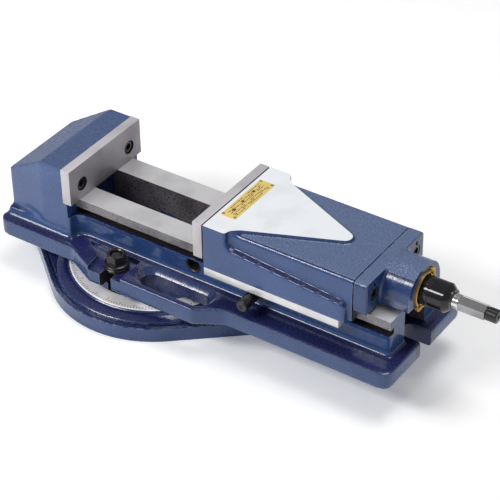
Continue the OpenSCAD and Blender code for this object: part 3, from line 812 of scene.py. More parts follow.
class Finish(Enum):
    """Every finish on the vise."""

    ENAMEL = Enamel()
    CROWN = Enamel(
        "hammered_enamel", (0.080, 0.122, 0.248), (0.124, 0.166, 0.295), (0.112, 0.160, 0.290),
        (0.024, 0.034, 0.095), roughness=(0.20, 0.46), grain=470.0, relief=0.0016, flecks=0.56, coat=0.2)
    SHADE = Enamel(
        "shaded_enamel", (0.014, 0.022, 0.085), (0.022, 0.034, 0.115), (0.010, 0.012, 0.060),
        roughness=(0.22, 0.4))
    BLOCK_TOP = Enamel(
        "block_enamel", (0.040, 0.072, 0.170), (0.058, 0.096, 0.205), (0.060, 0.095, 0.205),
        (0.020, 0.028, 0.085), roughness=(0.42, 0.6), grain=360.0, relief=0.0006, flecks=0.32, coat=0.04)
    # painted shade: darker enamel for the upright side faces of the castings
    FLANK_SHADE = Enamel(
        "shaded_flank_enamel", (0.012, 0.040, 0.140), (0.022, 0.058, 0.178), (0.012, 0.015, 0.070),
        roughness=(0.18, 0.32))
    RAIL = Steel(
        "ground_rail", (0.76, 0.75, 0.765), (0.64, 0.63, 0.64), (0.26, 0.42), (12, 1500, 1500), metallic=0.5)
    PLATE = Steel(
        "ground_plate", (0.53, 0.51, 0.54), (0.45, 0.43, 0.46), (0.36, 0.52), (1500, 12, 1500),
        metallic=0.2, wear=0.3)
    # painted shade: darker copy of the plate's ground steel for the faces across X
    GRIP_SHADE = Steel(
        "shaded_grip", (0.33, 0.31, 0.34), (0.25, 0.23, 0.26), (0.36, 0.52), (1500, 12, 1500),
        metallic=0.3, wear=0.3)
    PAD = Steel(
        "milled_pad", (0.84, 0.87, 0.90), (0.78, 0.80, 0.83), (0.38, 0.5), (900, 10, 900), metallic=0.15)
    KEEPER = Steel(
        "keeper_steel", (0.74, 0.73, 0.74), (0.62, 0.61, 0.62), (0.28, 0.42), (10, 900, 900), metallic=0.4)
    MILLED = Steel(
        "milled_iron", (0.22, 0.20, 0.22), (0.11, 0.10, 0.12), (0.35, 0.55), (30, 500, 500),
        metallic=0.5, wear=0.3, pits=0.43)
    LIP = Steel(
        "milled_lip", (0.25, 0.24, 0.25), (0.14, 0.13, 0.14), (0.30, 0.5), (14, 900, 900),
        metallic=0.5, wear=0.4, pits=0.40)
    # near-black: painted shade in undercuts, holes, notches, pockets and the step behind the plate, and the
    # dark joint lines
    RECESS_SHADE = Steel(
        "recess_shade", (0.030, 0.026, 0.030), (0.014, 0.012, 0.016), (0.35, 0.55), (40, 300, 300),
        metallic=0.3, pits=0.4)
    DIAL = Steel(
        "turned_dial", (0.97, 0.96, 0.95), (0.84, 0.80, 0.76), (0.3, 0.5), (400, 400, 400),
        metallic=0.1, pits=0.30)
    # grey bevel of the clamp slot's machined rim, kept to the inward bevels as a painted highlight
    RIM_HIGHLIGHT = Steel(
        "slot_rim_highlight", (0.34, 0.34, 0.40), (0.10, 0.10, 0.17), (0.3, 0.5), (300, 300, 300),
        metallic=0.3, pits=0.50)
    TURNED = Steel("turned_steel", (0.40, 0.39, 0.40), (0.24, 0.23, 0.24), (0.16, 0.32), (2500, 40, 40))
    CHROME = Steel("polished_neck", (0.72, 0.72, 0.74), (0.60, 0.60, 0.62), (0.06, 0.15), (1800, 40, 40))
    BLACK = Steel(
        "black_oxide", (0.014, 0.013, 0.015), (0.024, 0.022, 0.024), (0.16, 0.34), (60, 60, 900),
        metallic=0.2, wear=0.22)
    GLOSS = Steel(
        "polished_black", (0.010, 0.009, 0.012), (0.016, 0.014, 0.018), (0.05, 0.12), (900, 30, 30),
        relief=0.000006, metallic=0.1, wear=0.15)
    IRON = Steel("bare_iron", (0.24, 0.24, 0.25), (0.14, 0.13, 0.14), (0.4, 0.6), (60, 60, 60), pits=0.3)
    BRONZE = Steel("bearing_bronze", (0.50, 0.32, 0.14), (0.36, 0.21, 0.09), (0.25, 0.42), (1500, 60, 60))
    GOLD = Steel(
        "yellow_zinc", (0.62, 0.40, 0.10), (0.48, 0.28, 0.06), (0.25, 0.42), (60, 500, 500),
        metallic=0.8, wear=0.1)
    LABEL = Plain("yellow_plate", (0.80, 0.61, 0.19), (0.70, 0.52, 0.15), (0.35, 0.5), metallic=0.1)
    PRINT = Plain("dark_print", (0.045, 0.035, 0.03), (0.08, 0.06, 0.04), (0.4, 0.6))
    RED_PRINT = Plain("red_print", (0.22, 0.03, 0.04), (0.16, 0.02, 0.03), (0.4, 0.6))
    RUBBER = Plain("black_rubber", (0.012, 0.012, 0.012), (0.022, 0.021, 0.02), (0.5, 0.7))
    FLOOR = Plain("studio_floor", (0.93, 0.93, 0.93), (0.90, 0.90, 0.90), (0.7, 0.9), grain=60.0, glow=0.20)


class Workshop:
    """Makes each material once, and turns solids into finished pieces."""

    def __init__(self) -> None:
        """Starts with the shader groups and no material."""
        self.groups = Groups()
        self.made: dict[Finish, bpy.types.Material] = {}

    def finish(self, kind: Finish) -> bpy.types.Material:
        """Gives the material of a finish, and makes it the first time.

        Args:
            kind: The finish.

        Returns:
            The material.
        """
        if kind not in self.made:
            self.made[kind] = kind.value.make(self.groups)
        return self.made[kind]

    def piece(
        self, name: str, solid: Solid, body: str, finishes: Sequence[Finish], *, nodes: Sequence[str] = (),
        slot: str = "", where: Callable[[Vector, Vector], Finish] | None = None, sharp: float = 32.0,
    ) -> None:
        """Turns a solid into a piece that rides on a body.

        Args:
            name: The piece's name.
            solid: Its shape, in millimetres.
            body: The CAD body it moves with.
            finishes: Its finishes; where picks among them.
            nodes: The CAD nodes it stands for.
            slot: Name of a material slot; not used.
            where: Gives a face's finish from its centre and normal.
            sharp: Angle in degrees above which an edge stays sharp.
        """
        bm = solid.bm
        if where:
            bmesh.ops.triangulate(bm, faces=[face for face in bm.faces if len(face.verts) > 4])
            for face in bm.faces:
                face.material_index = finishes.index(where(face.calc_center_median(), face.normal))
        bmesh.ops.scale(bm, vec=(MM, MM, MM), verts=bm.verts)
        mesh = bpy.data.meshes.new(name)
        bm.to_mesh(mesh)
        bm.free()
        for kind in finishes:
            mesh.materials.append(self.finish(kind))
        mesh.shade_smooth()
        mesh.set_sharp_from_angle(angle=math.radians(sharp))
        made = bpy.data.objects.new(name, mesh)
        bpy.context.scene.collection.objects.link(made)
        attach(made, body)
        if nodes:
            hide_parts(*nodes)
        log.info("%s rides on %s with %d faces", name, body, len(mesh.polygons))

    def dress(self, node: str, kind: Finish) -> None:
        """Gives a carried-over CAD node its finish.

        Args:
            node: The CAD node.
            kind: The finish.
        """
        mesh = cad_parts[node].data
        if not mesh.materials:
            mesh.materials.append(None)
        for index in range(len(mesh.materials)):
            mesh.materials[index] = self.finish(kind)
        log.info("%s keeps its CAD mesh", node)


# ---------------------------------------------------------------- swivel base


@dataclass
class SwivelBase:
    """The round base with its two ears, groove, tiers and graduated ring."""

    shop: Workshop
    radius: float = 152.5
    ear_x: float = 175.0
    ear_r: float = 40.0
    rim_z: float = 22.0
    top_z: float = 31.0
    tier_r: float = 141.5
    ring_edge: float = 122.6
    ring_r: float = 92.0
    bore_r: float = 20.05
    slot_w: float = 18.0
    slot_length: float = 36.0
    tick_step: int = 2

    def outline(self, inset: float) -> list[Point]:
        """Gives the outline of the disc and its ears, inset by a distance.

        Args:
            inset: The distance.

        Returns:
            The closed outline.
        """
        r, e = self.radius - inset, self.ear_r - inset
        a = math.degrees(math.acos((r - e) / self.ear_x))
        return (
            arc((self.ear_x, 0), e, -a, a, 24) + arc((0, 0), r, a, 180 - a, 56)
            + arc((-self.ear_x, 0), e, 180 - a, 180 + a, 24) + arc((0, 0), r, 180 + a, 360 - a, 56)
        )

    def tiers(self) -> Solid:
        """Models the turned steps from the rim up to the graduated ring.

        Returns:
            The solid.
        """
        low, top, ring = self.rim_z - 2, self.top_z, self.tier_r
        return Solid().lathe([
            (low, 0), (low, ring), (low + 3.2, ring), (low + 4.2, ring - 0.9), (low + 6.6, ring - 7.0),
            (low + 7.9, ring - 9.0), (low + 8.3, ring - 12.5), (low + 8.3, ring - 15.5),
            (top - 0.8, self.ring_edge + 1.3), (top, self.ring_edge), (top, 0),
        ], steps=144)

    def groove(self) -> Solid:
        """Models the cutter for the shallow groove that follows the rim.

        Returns:
            The solid.
        """
        shape = Solid().prism(self.outline(5.0), self.rim_z - 3.2, self.top_z + 1)
        shape.cut(Solid().prism(self.outline(9.5), self.rim_z - 4.5, self.top_z + 2))
        return shape.cut(Solid().rod((0, 0, self.rim_z - 5), 20, self.tier_r - 0.1, steps=144))

    def openings(self) -> list[Solid]:
        """Models the cutters for the T-groove, the pivot's bore and the ears' slots.

        Returns:
            The solids.
        """
        neck, head = (self.ring_r - 9, self.ring_r + 9), (self.ring_r - 16, self.ring_r + 16)
        tee = Solid().lathe([
            (6, head[0]), (6, head[1]), (17, head[1]), (17, neck[1]), (33, neck[1]), (33, neck[0]),
            (17, neck[0]), (17, head[0]),
        ], steps=128, ring=True)
        slots = Solid()
        half = (self.slot_length - self.slot_w) / 2
        r = self.slot_w / 2
        for side in (-1, 1):
            x = side * self.ear_x
            ends = arc((x + half, 0), r, -90, 90, 12) + arc((x - half, 0), r, 90, 270, 12)
            slots.prism(ends, -1, self.rim_z + 1)
        return [tee, Solid().rod((0, 0, 8), 30, self.bore_r), slots]

    def build(self) -> None:
        """Makes the casting and its graduation."""
        body = Solid().prism(self.outline(0), 0.0, self.rim_z - 1.0)
        rim = Solid().prism(self.outline(1.0), self.rim_z - 3, self.rim_z)
        body.cut(rim, join=True).cut(self.tiers(), join=True)
        body.cut(self.groove(), *self.openings())
        self.shop.piece(
            "base_casting", body, "base", [Finish.ENAMEL, Finish.DIAL, Finish.MILLED, Finish.FLANK_SHADE],
            nodes=["swivel_base"], slot="cast_paint", where=self.finish_at, sharp=28,
        )
        self.graduation()

    def finish_at(self, centre: Vector, normal: Vector) -> Finish:
        """Turned metal on the top ring, milled metal below and in the slots, darker enamel as painted shade
        on upright walls, enamel elsewhere.

        Args:
            centre: The face's centre.
            normal: The face's normal.

        Returns:
            The face's finish.
        """
        reach = math.hypot(centre.x, centre.y)
        if centre.z > self.top_z - 2.4 and reach < self.ring_edge + 1.4:
            return Finish.DIAL
        if centre.z < 0.01 or reach < self.ring_r + 17:
            return Finish.MILLED
        # upright walls get the painted-shade enamel
        return Finish.FLANK_SHADE if abs(normal.z) < 0.4 else Finish.ENAMEL

    def graduation(self) -> None:
        """Ticks every two degrees, longer at each tenth and longest at each thirtieth degree."""
        ticks = Solid()
        outer, half = self.ring_edge - 1.1, 0.35
        for degree in range(0, 360, self.tick_step):
            length = 9.0 if degree % 30 == 0 else 6.5 if degree % 10 == 0 else 4.0
            bar = Solid().box((outer - length, -half, self.top_z - 0.1), (outer, half, self.top_z + 0.06))
            bar.moved(Matrix.Rotation(math.radians(degree), 4, "Z"))
            ticks.add(bar)
        self.shop.piece("base_graduation", ticks, "base", [Finish.PRINT], slot="cast_paint")


# ---------------------------------------------------------------- body casting


@dataclass
class BodyCasting:
    """The body: flange with lugs, fixed block, rails and clamp slots."""

    shop: Workshop
    foot_r: float = 103.0
    flange_edge: float = 14.0
    slope_x: float = -133.5
    boss_r: float = 12.5
    notch_r: float = 9.5
    notch_y: float = 92.0
    rim_depth: float = 8.0
    slope_half: float = 69.0
    voxel: float = 2.4
    relax: int = 7
    rail_half: float = 60.5
    gap_half: float = 25.5
    block_half: float = 80.0
    flange_half: float = 96.0
    lug_half: float = 119.0
    lip: float = 13.0
    undercut: tuple[float, float] = (9.0, 8.5)
    slot_y: float = 89.0
    slot_x: tuple[float, float] = (55.0, 135.0)
    slot_r: float = 14.0
    pin_x: tuple[float, float] = (105.0, 209.0)
    pin_r: float = 9.5
    pivot_r: float = 20.02
    pivot_head_r: float = 28.5

    def __post_init__(self) -> None:
        """Reads the stations from the frame."""
        plate = (low_of("fixed_jaw_plate"), high_of("fixed_jaw_plate"))
        body = (low_of("vise_body"), high_of("vise_body"))
        self.z_rail, self.z_top = plate[0].z, body[1].z
        self.x_seat, self.x_grip = plate[0].x, plate[1].x
        self.x_left, self.x_right = body[0].x, body[1].x
        self.z_foot = body[0].z
        self.z_flange = self.z_foot + 18
        self.z_floor = self.z_flange + 26
        self.x_rail_end = self.x_right - 18
        self.z_pin = (low_of("locating_pin").z + high_of("locating_pin").z) / 2
        self.z_seat = self.z_floor - 5
        self.z_lip = self.z_rail - self.lip
        self.z_undercut = self.z_lip - self.undercut[0]

    def flange(self) -> Solid:
        """Flange with round corners and lugs, and the round foot under it.

        Returns:
            The solid.
        """
        r, w = self.flange_edge, self.flange_half
        outline = arc((self.x_right - r, w - r), r, 0, 90, 6)
        outline += [(180.5, w), (142.5, self.lug_half), (-29, self.lug_half), (-75, w)]
        outline += arc((self.x_left + r, w - r), r, 90, 180, 6)
        shape = Solid().prism(mirrored(outline), self.z_flange, self.z_floor)
        return shape.rod((0, 0, self.z_foot), 22, self.foot_r, steps=96)

    def block(self) -> Solid:
        """Fixed block: flat top, slope to the back, sides drawn in behind the plate.

        Returns:
            The solid.
        """
        side = [
            (self.x_grip - 4, self.z_flange + 6), (self.x_grip - 4, self.z_top), (self.slope_x, self.z_top),
            (self.x_left + 7, self.z_rail + 17), (self.x_left + 7, self.z_flange + 6),
        ]
        shape = Solid().prism(side, -self.block_half, self.block_half, Axis.Y)
        plan = [
            (self.x_grip + 5, self.block_half), (self.slope_x, self.block_half),
            (self.x_left + 2, self.slope_half),
        ]
        outer = Solid().prism(
            plan + [(x, -y) for x, y in reversed(plan)], self.z_flange + 2, self.z_top + 10)
        trimmed = Solid().box((self.x_left - 20, -130, 0), (self.x_grip + 20, 130, self.z_top + 30))
        return shape.cut(trimmed.cut(outer))

    def coves(self) -> Solid:
        """Fillet strips at the foot of the block and of the rails.

        Returns:
            The solid.
        """
        shape = Solid()
        z = self.z_floor - 1
        steps = [math.radians(10 * i) for i in range(10)]

        def strip(y: float, reach: float, rise: float, x0: float, x1: float) -> None:
            """Adds a hollow fillet along X on both sides, from a wall out to the flange.

            Args:
                y: Where the wall stands.
                reach: The fillet's width.
                rise: Its height.
                x0: Where it starts.
                x1: Where it ends.
            """
            curve = [(y + reach * (1 - math.sin(t)), z + rise * (1 - math.cos(t))) for t in steps]
            curve += [(y - 6, z + rise), (y - 6, z - 3), (y + reach, z - 3)]
            shape.add(Solid().prism(curve, x0, x1, Axis.X).both_sides())

        strip(self.block_half - 1, 15, 13, self.x_left + 6, self.x_grip - 7)
        strip(self.rail_half, 8, 8, self.x_grip - 8, self.x_rail_end)
        back = [(self.x_left + 7.5 - 7 * (1 - math.sin(t)), z + 9 * (1 - math.cos(t))) for t in steps]
        back += [(self.x_left + 14, z + 9), (self.x_left + 14, z - 3), (self.x_left + 0.5, z - 3)]
        shape.add(Solid().prism(back, -74, 74, Axis.Y))
        corner = self.x_grip - 9
        bulge = [(corner + 34 * (1 - math.cos(t)), self.rail_half + 19.5 * (1 - math.sin(t))) for t in steps]
        bulge += [(corner + 34, self.rail_half - 6), (corner, self.rail_half - 6)]
        shape.add(Solid().prism(bulge, z - 3, self.z_undercut + 1).both_sides())
        return shape

    def rails(self) -> Solid:
        """Rail block, a little oversize where it is machined afterwards.

        Returns:
            The solid.
        """
        low, start, half = self.z_undercut - 2, self.x_grip - 9, self.rail_half
        shape = Solid().box((start, -half, self.z_flange + 8), (self.x_rail_end, half, low + 2))
        return shape.box((start, -half - 3, low), (self.x_rail_end, half + 3, self.z_rail + 4))

    def milling(self) -> list[Solid]:
        """Cutters for the rails, their undercuts and the channel between them.

        Returns:
            The solids.
        """
        front, end, half = self.x_grip - 8, self.x_rail_end + 20, self.rail_half
        channel = Solid().box(
            (front, -self.gap_half, self.z_floor), (self.x_right + 20, self.gap_half, self.z_rail + 5))
        side = Solid().box((front, half, self.z_undercut), (end, half + 30, self.z_rail + 1))
        under = Solid().box((front, half - self.undercut[1], self.z_undercut), (end, half + 3, self.z_lip))
        return [
            Solid().box((self.x_seat, -FAR, self.z_rail), (FAR * 5, FAR, self.z_top + 20)),
            channel, side.both_sides(), under.both_sides(),
        ]

    def bores(self) -> list[Solid]:
        """Cutters for the pin's holes and their countersunk mouths.

        Returns:
            The solids.
        """
        holes, mouths = Solid(), Solid()
        for x in self.pin_x:
            side = -self.rail_half
            holes.rod((x, side - 12, self.z_pin), 24 - 2 * side, self.pin_r + 0.05, Axis.Y)
            mouths.rod((x, side - 1.5, self.z_pin), 3.0, self.boss_r, Axis.Y, end_radius=self.pin_r)
        return [holes, mouths]

    def oblong(self, r: float) -> list[Point]:
        """Outline of the clamp slot with a given end radius."""
        x0, x1 = self.slot_x
        return arc((x1, self.slot_y), r, -90, 90, 16) + arc((x0, self.slot_y), r, 90, 270, 16)

    def machining(self) -> list[Solid]:
        """Everything milled, bored or slotted after casting.

        Returns:
            The cutters in their order.
        """
        out = self.lug_half + 3
        seat = Solid().prism([
            (-63, self.rail_half + 9), (-33, self.rail_half + 31), (-30, out), (25, out),
            (25, self.rail_half + 9),
        ], self.z_seat, self.z_floor + 10)
        notch = [(self.notch_r, out), (-self.notch_r, out)]
        notch += arc((0, self.notch_y), self.notch_r, 180, 360, 16)
        end = arc((self.x_right - 22, 0), self.slot_r, 90, 270, 20)
        end += [(self.x_right + 5, -self.slot_r), (self.x_right + 5, self.slot_r)]
        return [
            *self.milling(), *self.bores(), seat.both_sides(),
            Solid().prism(notch, self.z_foot - 2, self.z_floor + 12).both_sides(),
            Solid().prism(self.oblong(self.slot_r), self.z_foot - 2, self.z_floor + 2).both_sides(),
            self.slot_bevel().both_sides(),
            Solid().prism(end, self.z_foot, self.z_floor + 2),
            Solid().rod((0, 0, self.z_foot - 2), 60, self.pivot_r),
            Solid().rod((0, 0, self.z_floor - 7), 20, self.pivot_head_r),
        ]

    def slot_bevel(self) -> Solid:
        """Tapered cutter for the rim of a clamp slot.

        Returns:
            The solid.
        """
        shape = Solid()
        depth = self.rim_depth
        rings = [
            [shape.bm.verts.new((x, y, z)) for x, y in self.oblong(r)]
            for r, z in ((self.slot_r, self.z_floor - depth), (self.slot_r + depth + 1, self.z_floor + 1))
        ]
        edges = [shape.bm.edges.new(pair) for ring in rings for pair in zip(ring, ring[1:] + ring[:1])]
        bmesh.ops.bridge_loops(shape.bm, edges=edges)
        for ring in rings:
            shape.bm.faces.new(ring)
        bmesh.ops.recalc_face_normals(shape.bm, faces=shape.bm.faces)
        return shape

    def rail_finish(self, x: float, y: float, z: float, normal: Vector) -> Finish | None:
        """Finish of the ground rails, their lips, the channel and the plate's seat.

        Args:
            x: The face's place along the vise.
            y: Its distance from the centre plane.
            z: Its height.
            normal: The face's normal.

        Returns:
            The finish, or nothing where the face isn't one of these.
        """
        on_rails = x > self.x_seat - 0.5 and y < self.rail_half + 0.2
        if on_rails and abs(z - self.z_rail) < 0.05 and normal.z > 0.99:
            return Finish.RAIL
        if self.x_seat - 0.05 < x < self.x_rail_end - 1 and self.rail_half - 9 < y < self.rail_half + 0.1:
            if z > self.z_lip - 0.05:
                return Finish.LIP
            # the undercut below the lip gets painted shade
            if z > self.z_undercut - 0.05:
                return Finish.RECESS_SHADE
        if x > self.x_seat and abs(y - self.gap_half) < 0.1 and abs(normal.y) > 0.9:
            return Finish.MILLED
        return Finish.MILLED if abs(x - self.x_seat) < 0.05 and z > self.z_rail else None

    def hole_finish(self, x: float, y: float, z: float, normal: Vector) -> Finish | None:
        """Finish of the holes, the slots, their rims and the channel's floor.

        Args:
            x: The face's place along the vise.
            y: Its distance from the centre plane.
            z: Its height.
            normal: The face's normal, turned so that +Y points away from the centre plane.

        Returns:
            The finish, or nothing where the face isn't one of these.
        """
        upright = abs(normal.z) < 0.3
        reach = self.boss_r + 0.1
        # the mouths of the pin holes get painted shade
        if any(math.hypot(x - at, z - self.z_pin) < reach for at in self.pin_x) and y < self.rail_half + 0.2:
            return Finish.RECESS_SHADE
        if self.slot_x[0] - 24 < x < self.slot_x[1] + 24 and abs(y - self.slot_y) < 24:
            if self.z_floor - self.rim_depth - 0.1 < z < self.z_floor - 0.05 and 0.3 < normal.z < 0.9:
                # inward bevels get the grey rim with its painted highlight, the outward bevel stays enamel
                return Finish.RIM_HIGHLIGHT if normal.y < 0.3 else Finish.ENAMEL
        # the notch walls get painted shade
        if abs(x) < self.notch_r + 0.1 and y > self.block_half and upright and z < self.z_floor:
            return Finish.RECESS_SHADE
        if y < self.gap_half + 0.2 and x > self.x_seat and z < self.z_rail - 0.1:
            return Finish.SHADE
        r = self.slot_r + 0.2
        in_slot = self.slot_x[0] - r < x < self.slot_x[1] + r and abs(y - self.slot_y) < r
        return Finish.SHADE if in_slot and z < self.z_floor - self.rim_depth and upright else None

    def finish_at(self, centre: Vector, normal: Vector) -> Finish:
        """Ground rails, milled lips and channel, painted shade in recesses and on the flange's sides, grey
        slot rims partly a painted highlight, enamel elsewhere.

        Args:
            centre: The face's centre.
            normal: The face's normal.

        Returns:
            The face's finish.
        """
        x, y, z = centre.x, abs(centre.y), centre.z
        outward = Vector((normal.x, math.copysign(1.0, centre.y) * normal.y, normal.z))
        found = self.rail_finish(x, y, z, outward) or self.hole_finish(x, y, z, outward)
        if found:
            return found
        if z < self.z_foot + 0.05:
            return Finish.MILLED
        # the flange's upright sides get the painted-shade enamel
        if self.z_flange - 3 < z < self.z_floor - 0.5 and abs(normal.z) < 0.4 and y > self.rail_half + 15:
            return Finish.FLANK_SHADE
        on_block = z > self.z_floor + 60 and x < self.x_seat
        return Finish.BLOCK_TOP if on_block and normal.z > 0.35 else Finish.ENAMEL

    def build(self) -> None:
        """Casts and machines the body."""
        shape = self.flange().add(self.block()).add(self.coves()).add(self.rails())
        shape.cast(self.voxel, self.relax)
        shape.cut(*self.machining())
        self.shop.piece(
            "body_casting", shape, "vise",
            [Finish.ENAMEL, Finish.RAIL, Finish.MILLED, Finish.RIM_HIGHLIGHT, Finish.RECESS_SHADE, Finish.LIP, Finish.BLOCK_TOP,
             Finish.SHADE, Finish.FLANK_SHADE],
            nodes=["vise_body"], slot="cast_paint", where=self.finish_at, sharp=40,
        )


# ---------------------------------------------------------------- movable jaw


def joint_groove(x: float, half: float, z_low: float, z_top: float, edge: float) -> Solid:
    """Cutter that chamfers the outside of a joint across X, to leave a dark line.

    Args:
        x: Station of the joint.
        half: Half width of the castings there.
        z_low: Where the joint starts.
        z_top: Their top.
        edge: Radius of their top edges.

    Returns:
        A frame that reaches a little into both castings.
    """
    depth = 1.3
    frame_box = Solid().box((x - 0.9, -half - 20, z_low - 20), (x + 0.9, half + 20, z_top + 20))
    inner = [(half - depth, z_low - 30)] + arc((half - edge, z_top - edge), edge - depth, 0, 90, 6)
    return frame_box.cut(Solid().prism(section(inner), x - 3, x + 3, Axis.X))


@dataclass
class JawCasting:
    """The movable jaw: full-width front, narrower box, skirts and the raised milled pad."""

    shop: Workshop
    voxel: float = 2.0
    relax: int = 6
    front: float = 36.0
    box_half: tuple[float, float] = (72.0, 70.5)
    skirt_rise: tuple[float, float] = (30.0, 15.0)
    pad_tip: float = 178.0
    cavity_half: float = 36.0
    rail_half: float = 60.9
    edge: float = 7.0
    corner: float = 11.0
    step: float = 1.8
    step_x: float = 2.2

    def __post_init__(self) -> None:
        """Reads the stations from the frame."""
        low, high = low_of("movable_jaw"), high_of("movable_jaw")
        self.x0, self.x1 = low.x, high.x
        self.half = high.y
        self.z_skirt, self.z_pad = low.z, high.z
        self.z_top = self.z_pad - 4
        self.z_rail = low_of("fixed_jaw_plate").z
        self.x_skirt = high_of("near_keeper").x + 8

    def pad_outline(self) -> list[Point]:
        """Half of the pad's outline, from the plate to the tip.

        Returns:
            The outline's corners.
        """
        x, side = self.x0, self.half
        neck = [(x + 37.5, 73), (x + 40, 69), (x + 46, 64), (x + 52, 60.5)]
        return [(x - 6, side), (x + 36.5, side)] + neck + arc((x + self.pad_tip - 10, 0), 10.5, 52, 0, 6)

    def shell(self) -> Solid:
        """The casting before it is machined.

        Returns:
            The overlapping shapes.
        """
        x0, x1 = self.x0, self.x1
        shape = Solid()
        shape.box((x0 - 4, -self.half, self.z_skirt - 4), (x0 + self.front, self.half, self.z_top))
        low, high = self.box_half
        walls = [(low, self.z_skirt - 2), (high, self.z_top - self.edge)]
        walls += arc((high - self.edge, self.z_top - self.edge), self.edge, 15, 90, 5)
        shape.add(Solid().prism(section(walls), x0 + 4, x1 + 6, Axis.X))
        rise0, rise1 = (self.z_rail + r for r in self.skirt_rise)
        end = self.x_skirt
        side = [(x0, self.z_skirt - 4), (end, self.z_skirt - 4)]
        side += arc((end - 8, rise1 - 8), 8, 0, 80, 6)
        turn = (x0 + self.front + self.corner, rise0 + self.corner - 0.4)
        side += arc(turn, self.corner, 265, 185, 6) + [(x0, rise0 + self.corner)]
        shape.add(Solid().prism(side, self.half - 25, self.half, Axis.Y).both_sides())
        shape.add(self.scoops())
        return shape.add(Solid().prism(mirrored(self.pad_outline()), self.z_top - 6, self.z_pad + 4))

    def scoops(self) -> Solid:
        """Hollow corners between the front and the walls.

        Returns:
            The solid.
        """
        x = self.x0 + self.front
        wall = self.box_half[1] - 3
        reach, depth = 14.0, self.half - wall
        steps = [math.radians(10 * i) for i in range(10)]
        curve = [(x - 1 + reach * (1 - math.cos(t)), wall + depth * (1 - math.sin(t))) for t in steps]
        curve += [(x + reach, wall - 6), (x - 6, wall - 6), (x - 6, wall + depth)]
        return Solid().prism(curve, self.z_skirt, self.z_top).both_sides()

    def machining(self) -> list[Solid]:
        """Milled faces, the cavity, the pad's level top and the step behind the plate.

        Returns:
            The cutters in their order.
        """
        back, front, rail = self.x0 - 40, self.x1 + 40, self.rail_half
        top = high_of("nut_block").z + 0.6
        side = self.half + 5
        step = Solid().box(
            (self.x0 - 5, -side, self.z_skirt - 5), (self.x0 + self.step_x, side, self.z_pad + 5))
        kept = Solid().box(
            (self.x0 - 9, -self.half + self.step, 0), (self.x0 + 9, self.half - self.step, self.z_pad - 0.7))
        return [
            Solid().box((self.x0 - 30, -FAR, 0), (self.x0, FAR, HIGH)),
            Solid().box((self.x1, -FAR, 0), (self.x1 + 30, FAR, HIGH)),
            Solid().box((back, -FAR, self.z_pad), (front, FAR, HIGH)),
            Solid().box((back, -FAR, 50), (front, FAR, self.z_skirt)),
            Solid().box((back, -rail, 50), (front, rail, self.z_rail + 0.03)),
            Solid().box((self.x0 + 20, -self.cavity_half, 60), (front, self.cavity_half, top)),
            joint_groove(self.x1, self.box_half[1], self.z_rail, self.z_top, self.edge),
            step.cut(kept),
        ]

    def finish_at(self, centre: Vector, normal: Vector) -> Finish:
        """Milled pad, ground sliding faces, rough enamel on the crown, smooth on the sides.

        Args:
            centre: The face's centre.
            normal: The face's normal.

        Returns:
            The face's finish.
        """
        x, y, z = centre.x, abs(centre.y), centre.z
        if z > self.z_pad - 0.05:
            return Finish.PAD
        # the step behind the plate gets painted shade
        if x < self.x0 + self.step_x + 0.05 and (y > self.half - self.step - 0.05 or z > self.z_pad - 0.75):
            return Finish.RECESS_SHADE
        # the joint groove is a dark joint line
        if self.x1 - 0.95 < x < self.x1 - 0.02 and z > self.z_rail + 1 and y > self.cavity_half + 1:
            return Finish.RECESS_SHADE
        if min(abs(x - self.x0), abs(x - self.x1)) < 0.05 or z < self.z_rail + 0.1 and normal.z < -0.9:
            return Finish.MILLED
        return Finish.CROWN if z > self.z_top - 1.2 and normal.z > 0.93 else Finish.ENAMEL

    def build(self) -> None:
        """Casts and machines the jaw."""
        shape = self.shell().cast(self.voxel, self.relax)
        shape.cut(*self.machining())
        self.shop.piece(
            "jaw_casting", shape, "jaw",
            [Finish.ENAMEL, Finish.PAD, Finish.MILLED, Finish.CROWN, Finish.RECESS_SHADE],
            nodes=["movable_jaw"], slot="cast_paint", where=self.finish_at, sharp=40,
        )


# ---------------------------------------------------------------- rear flange


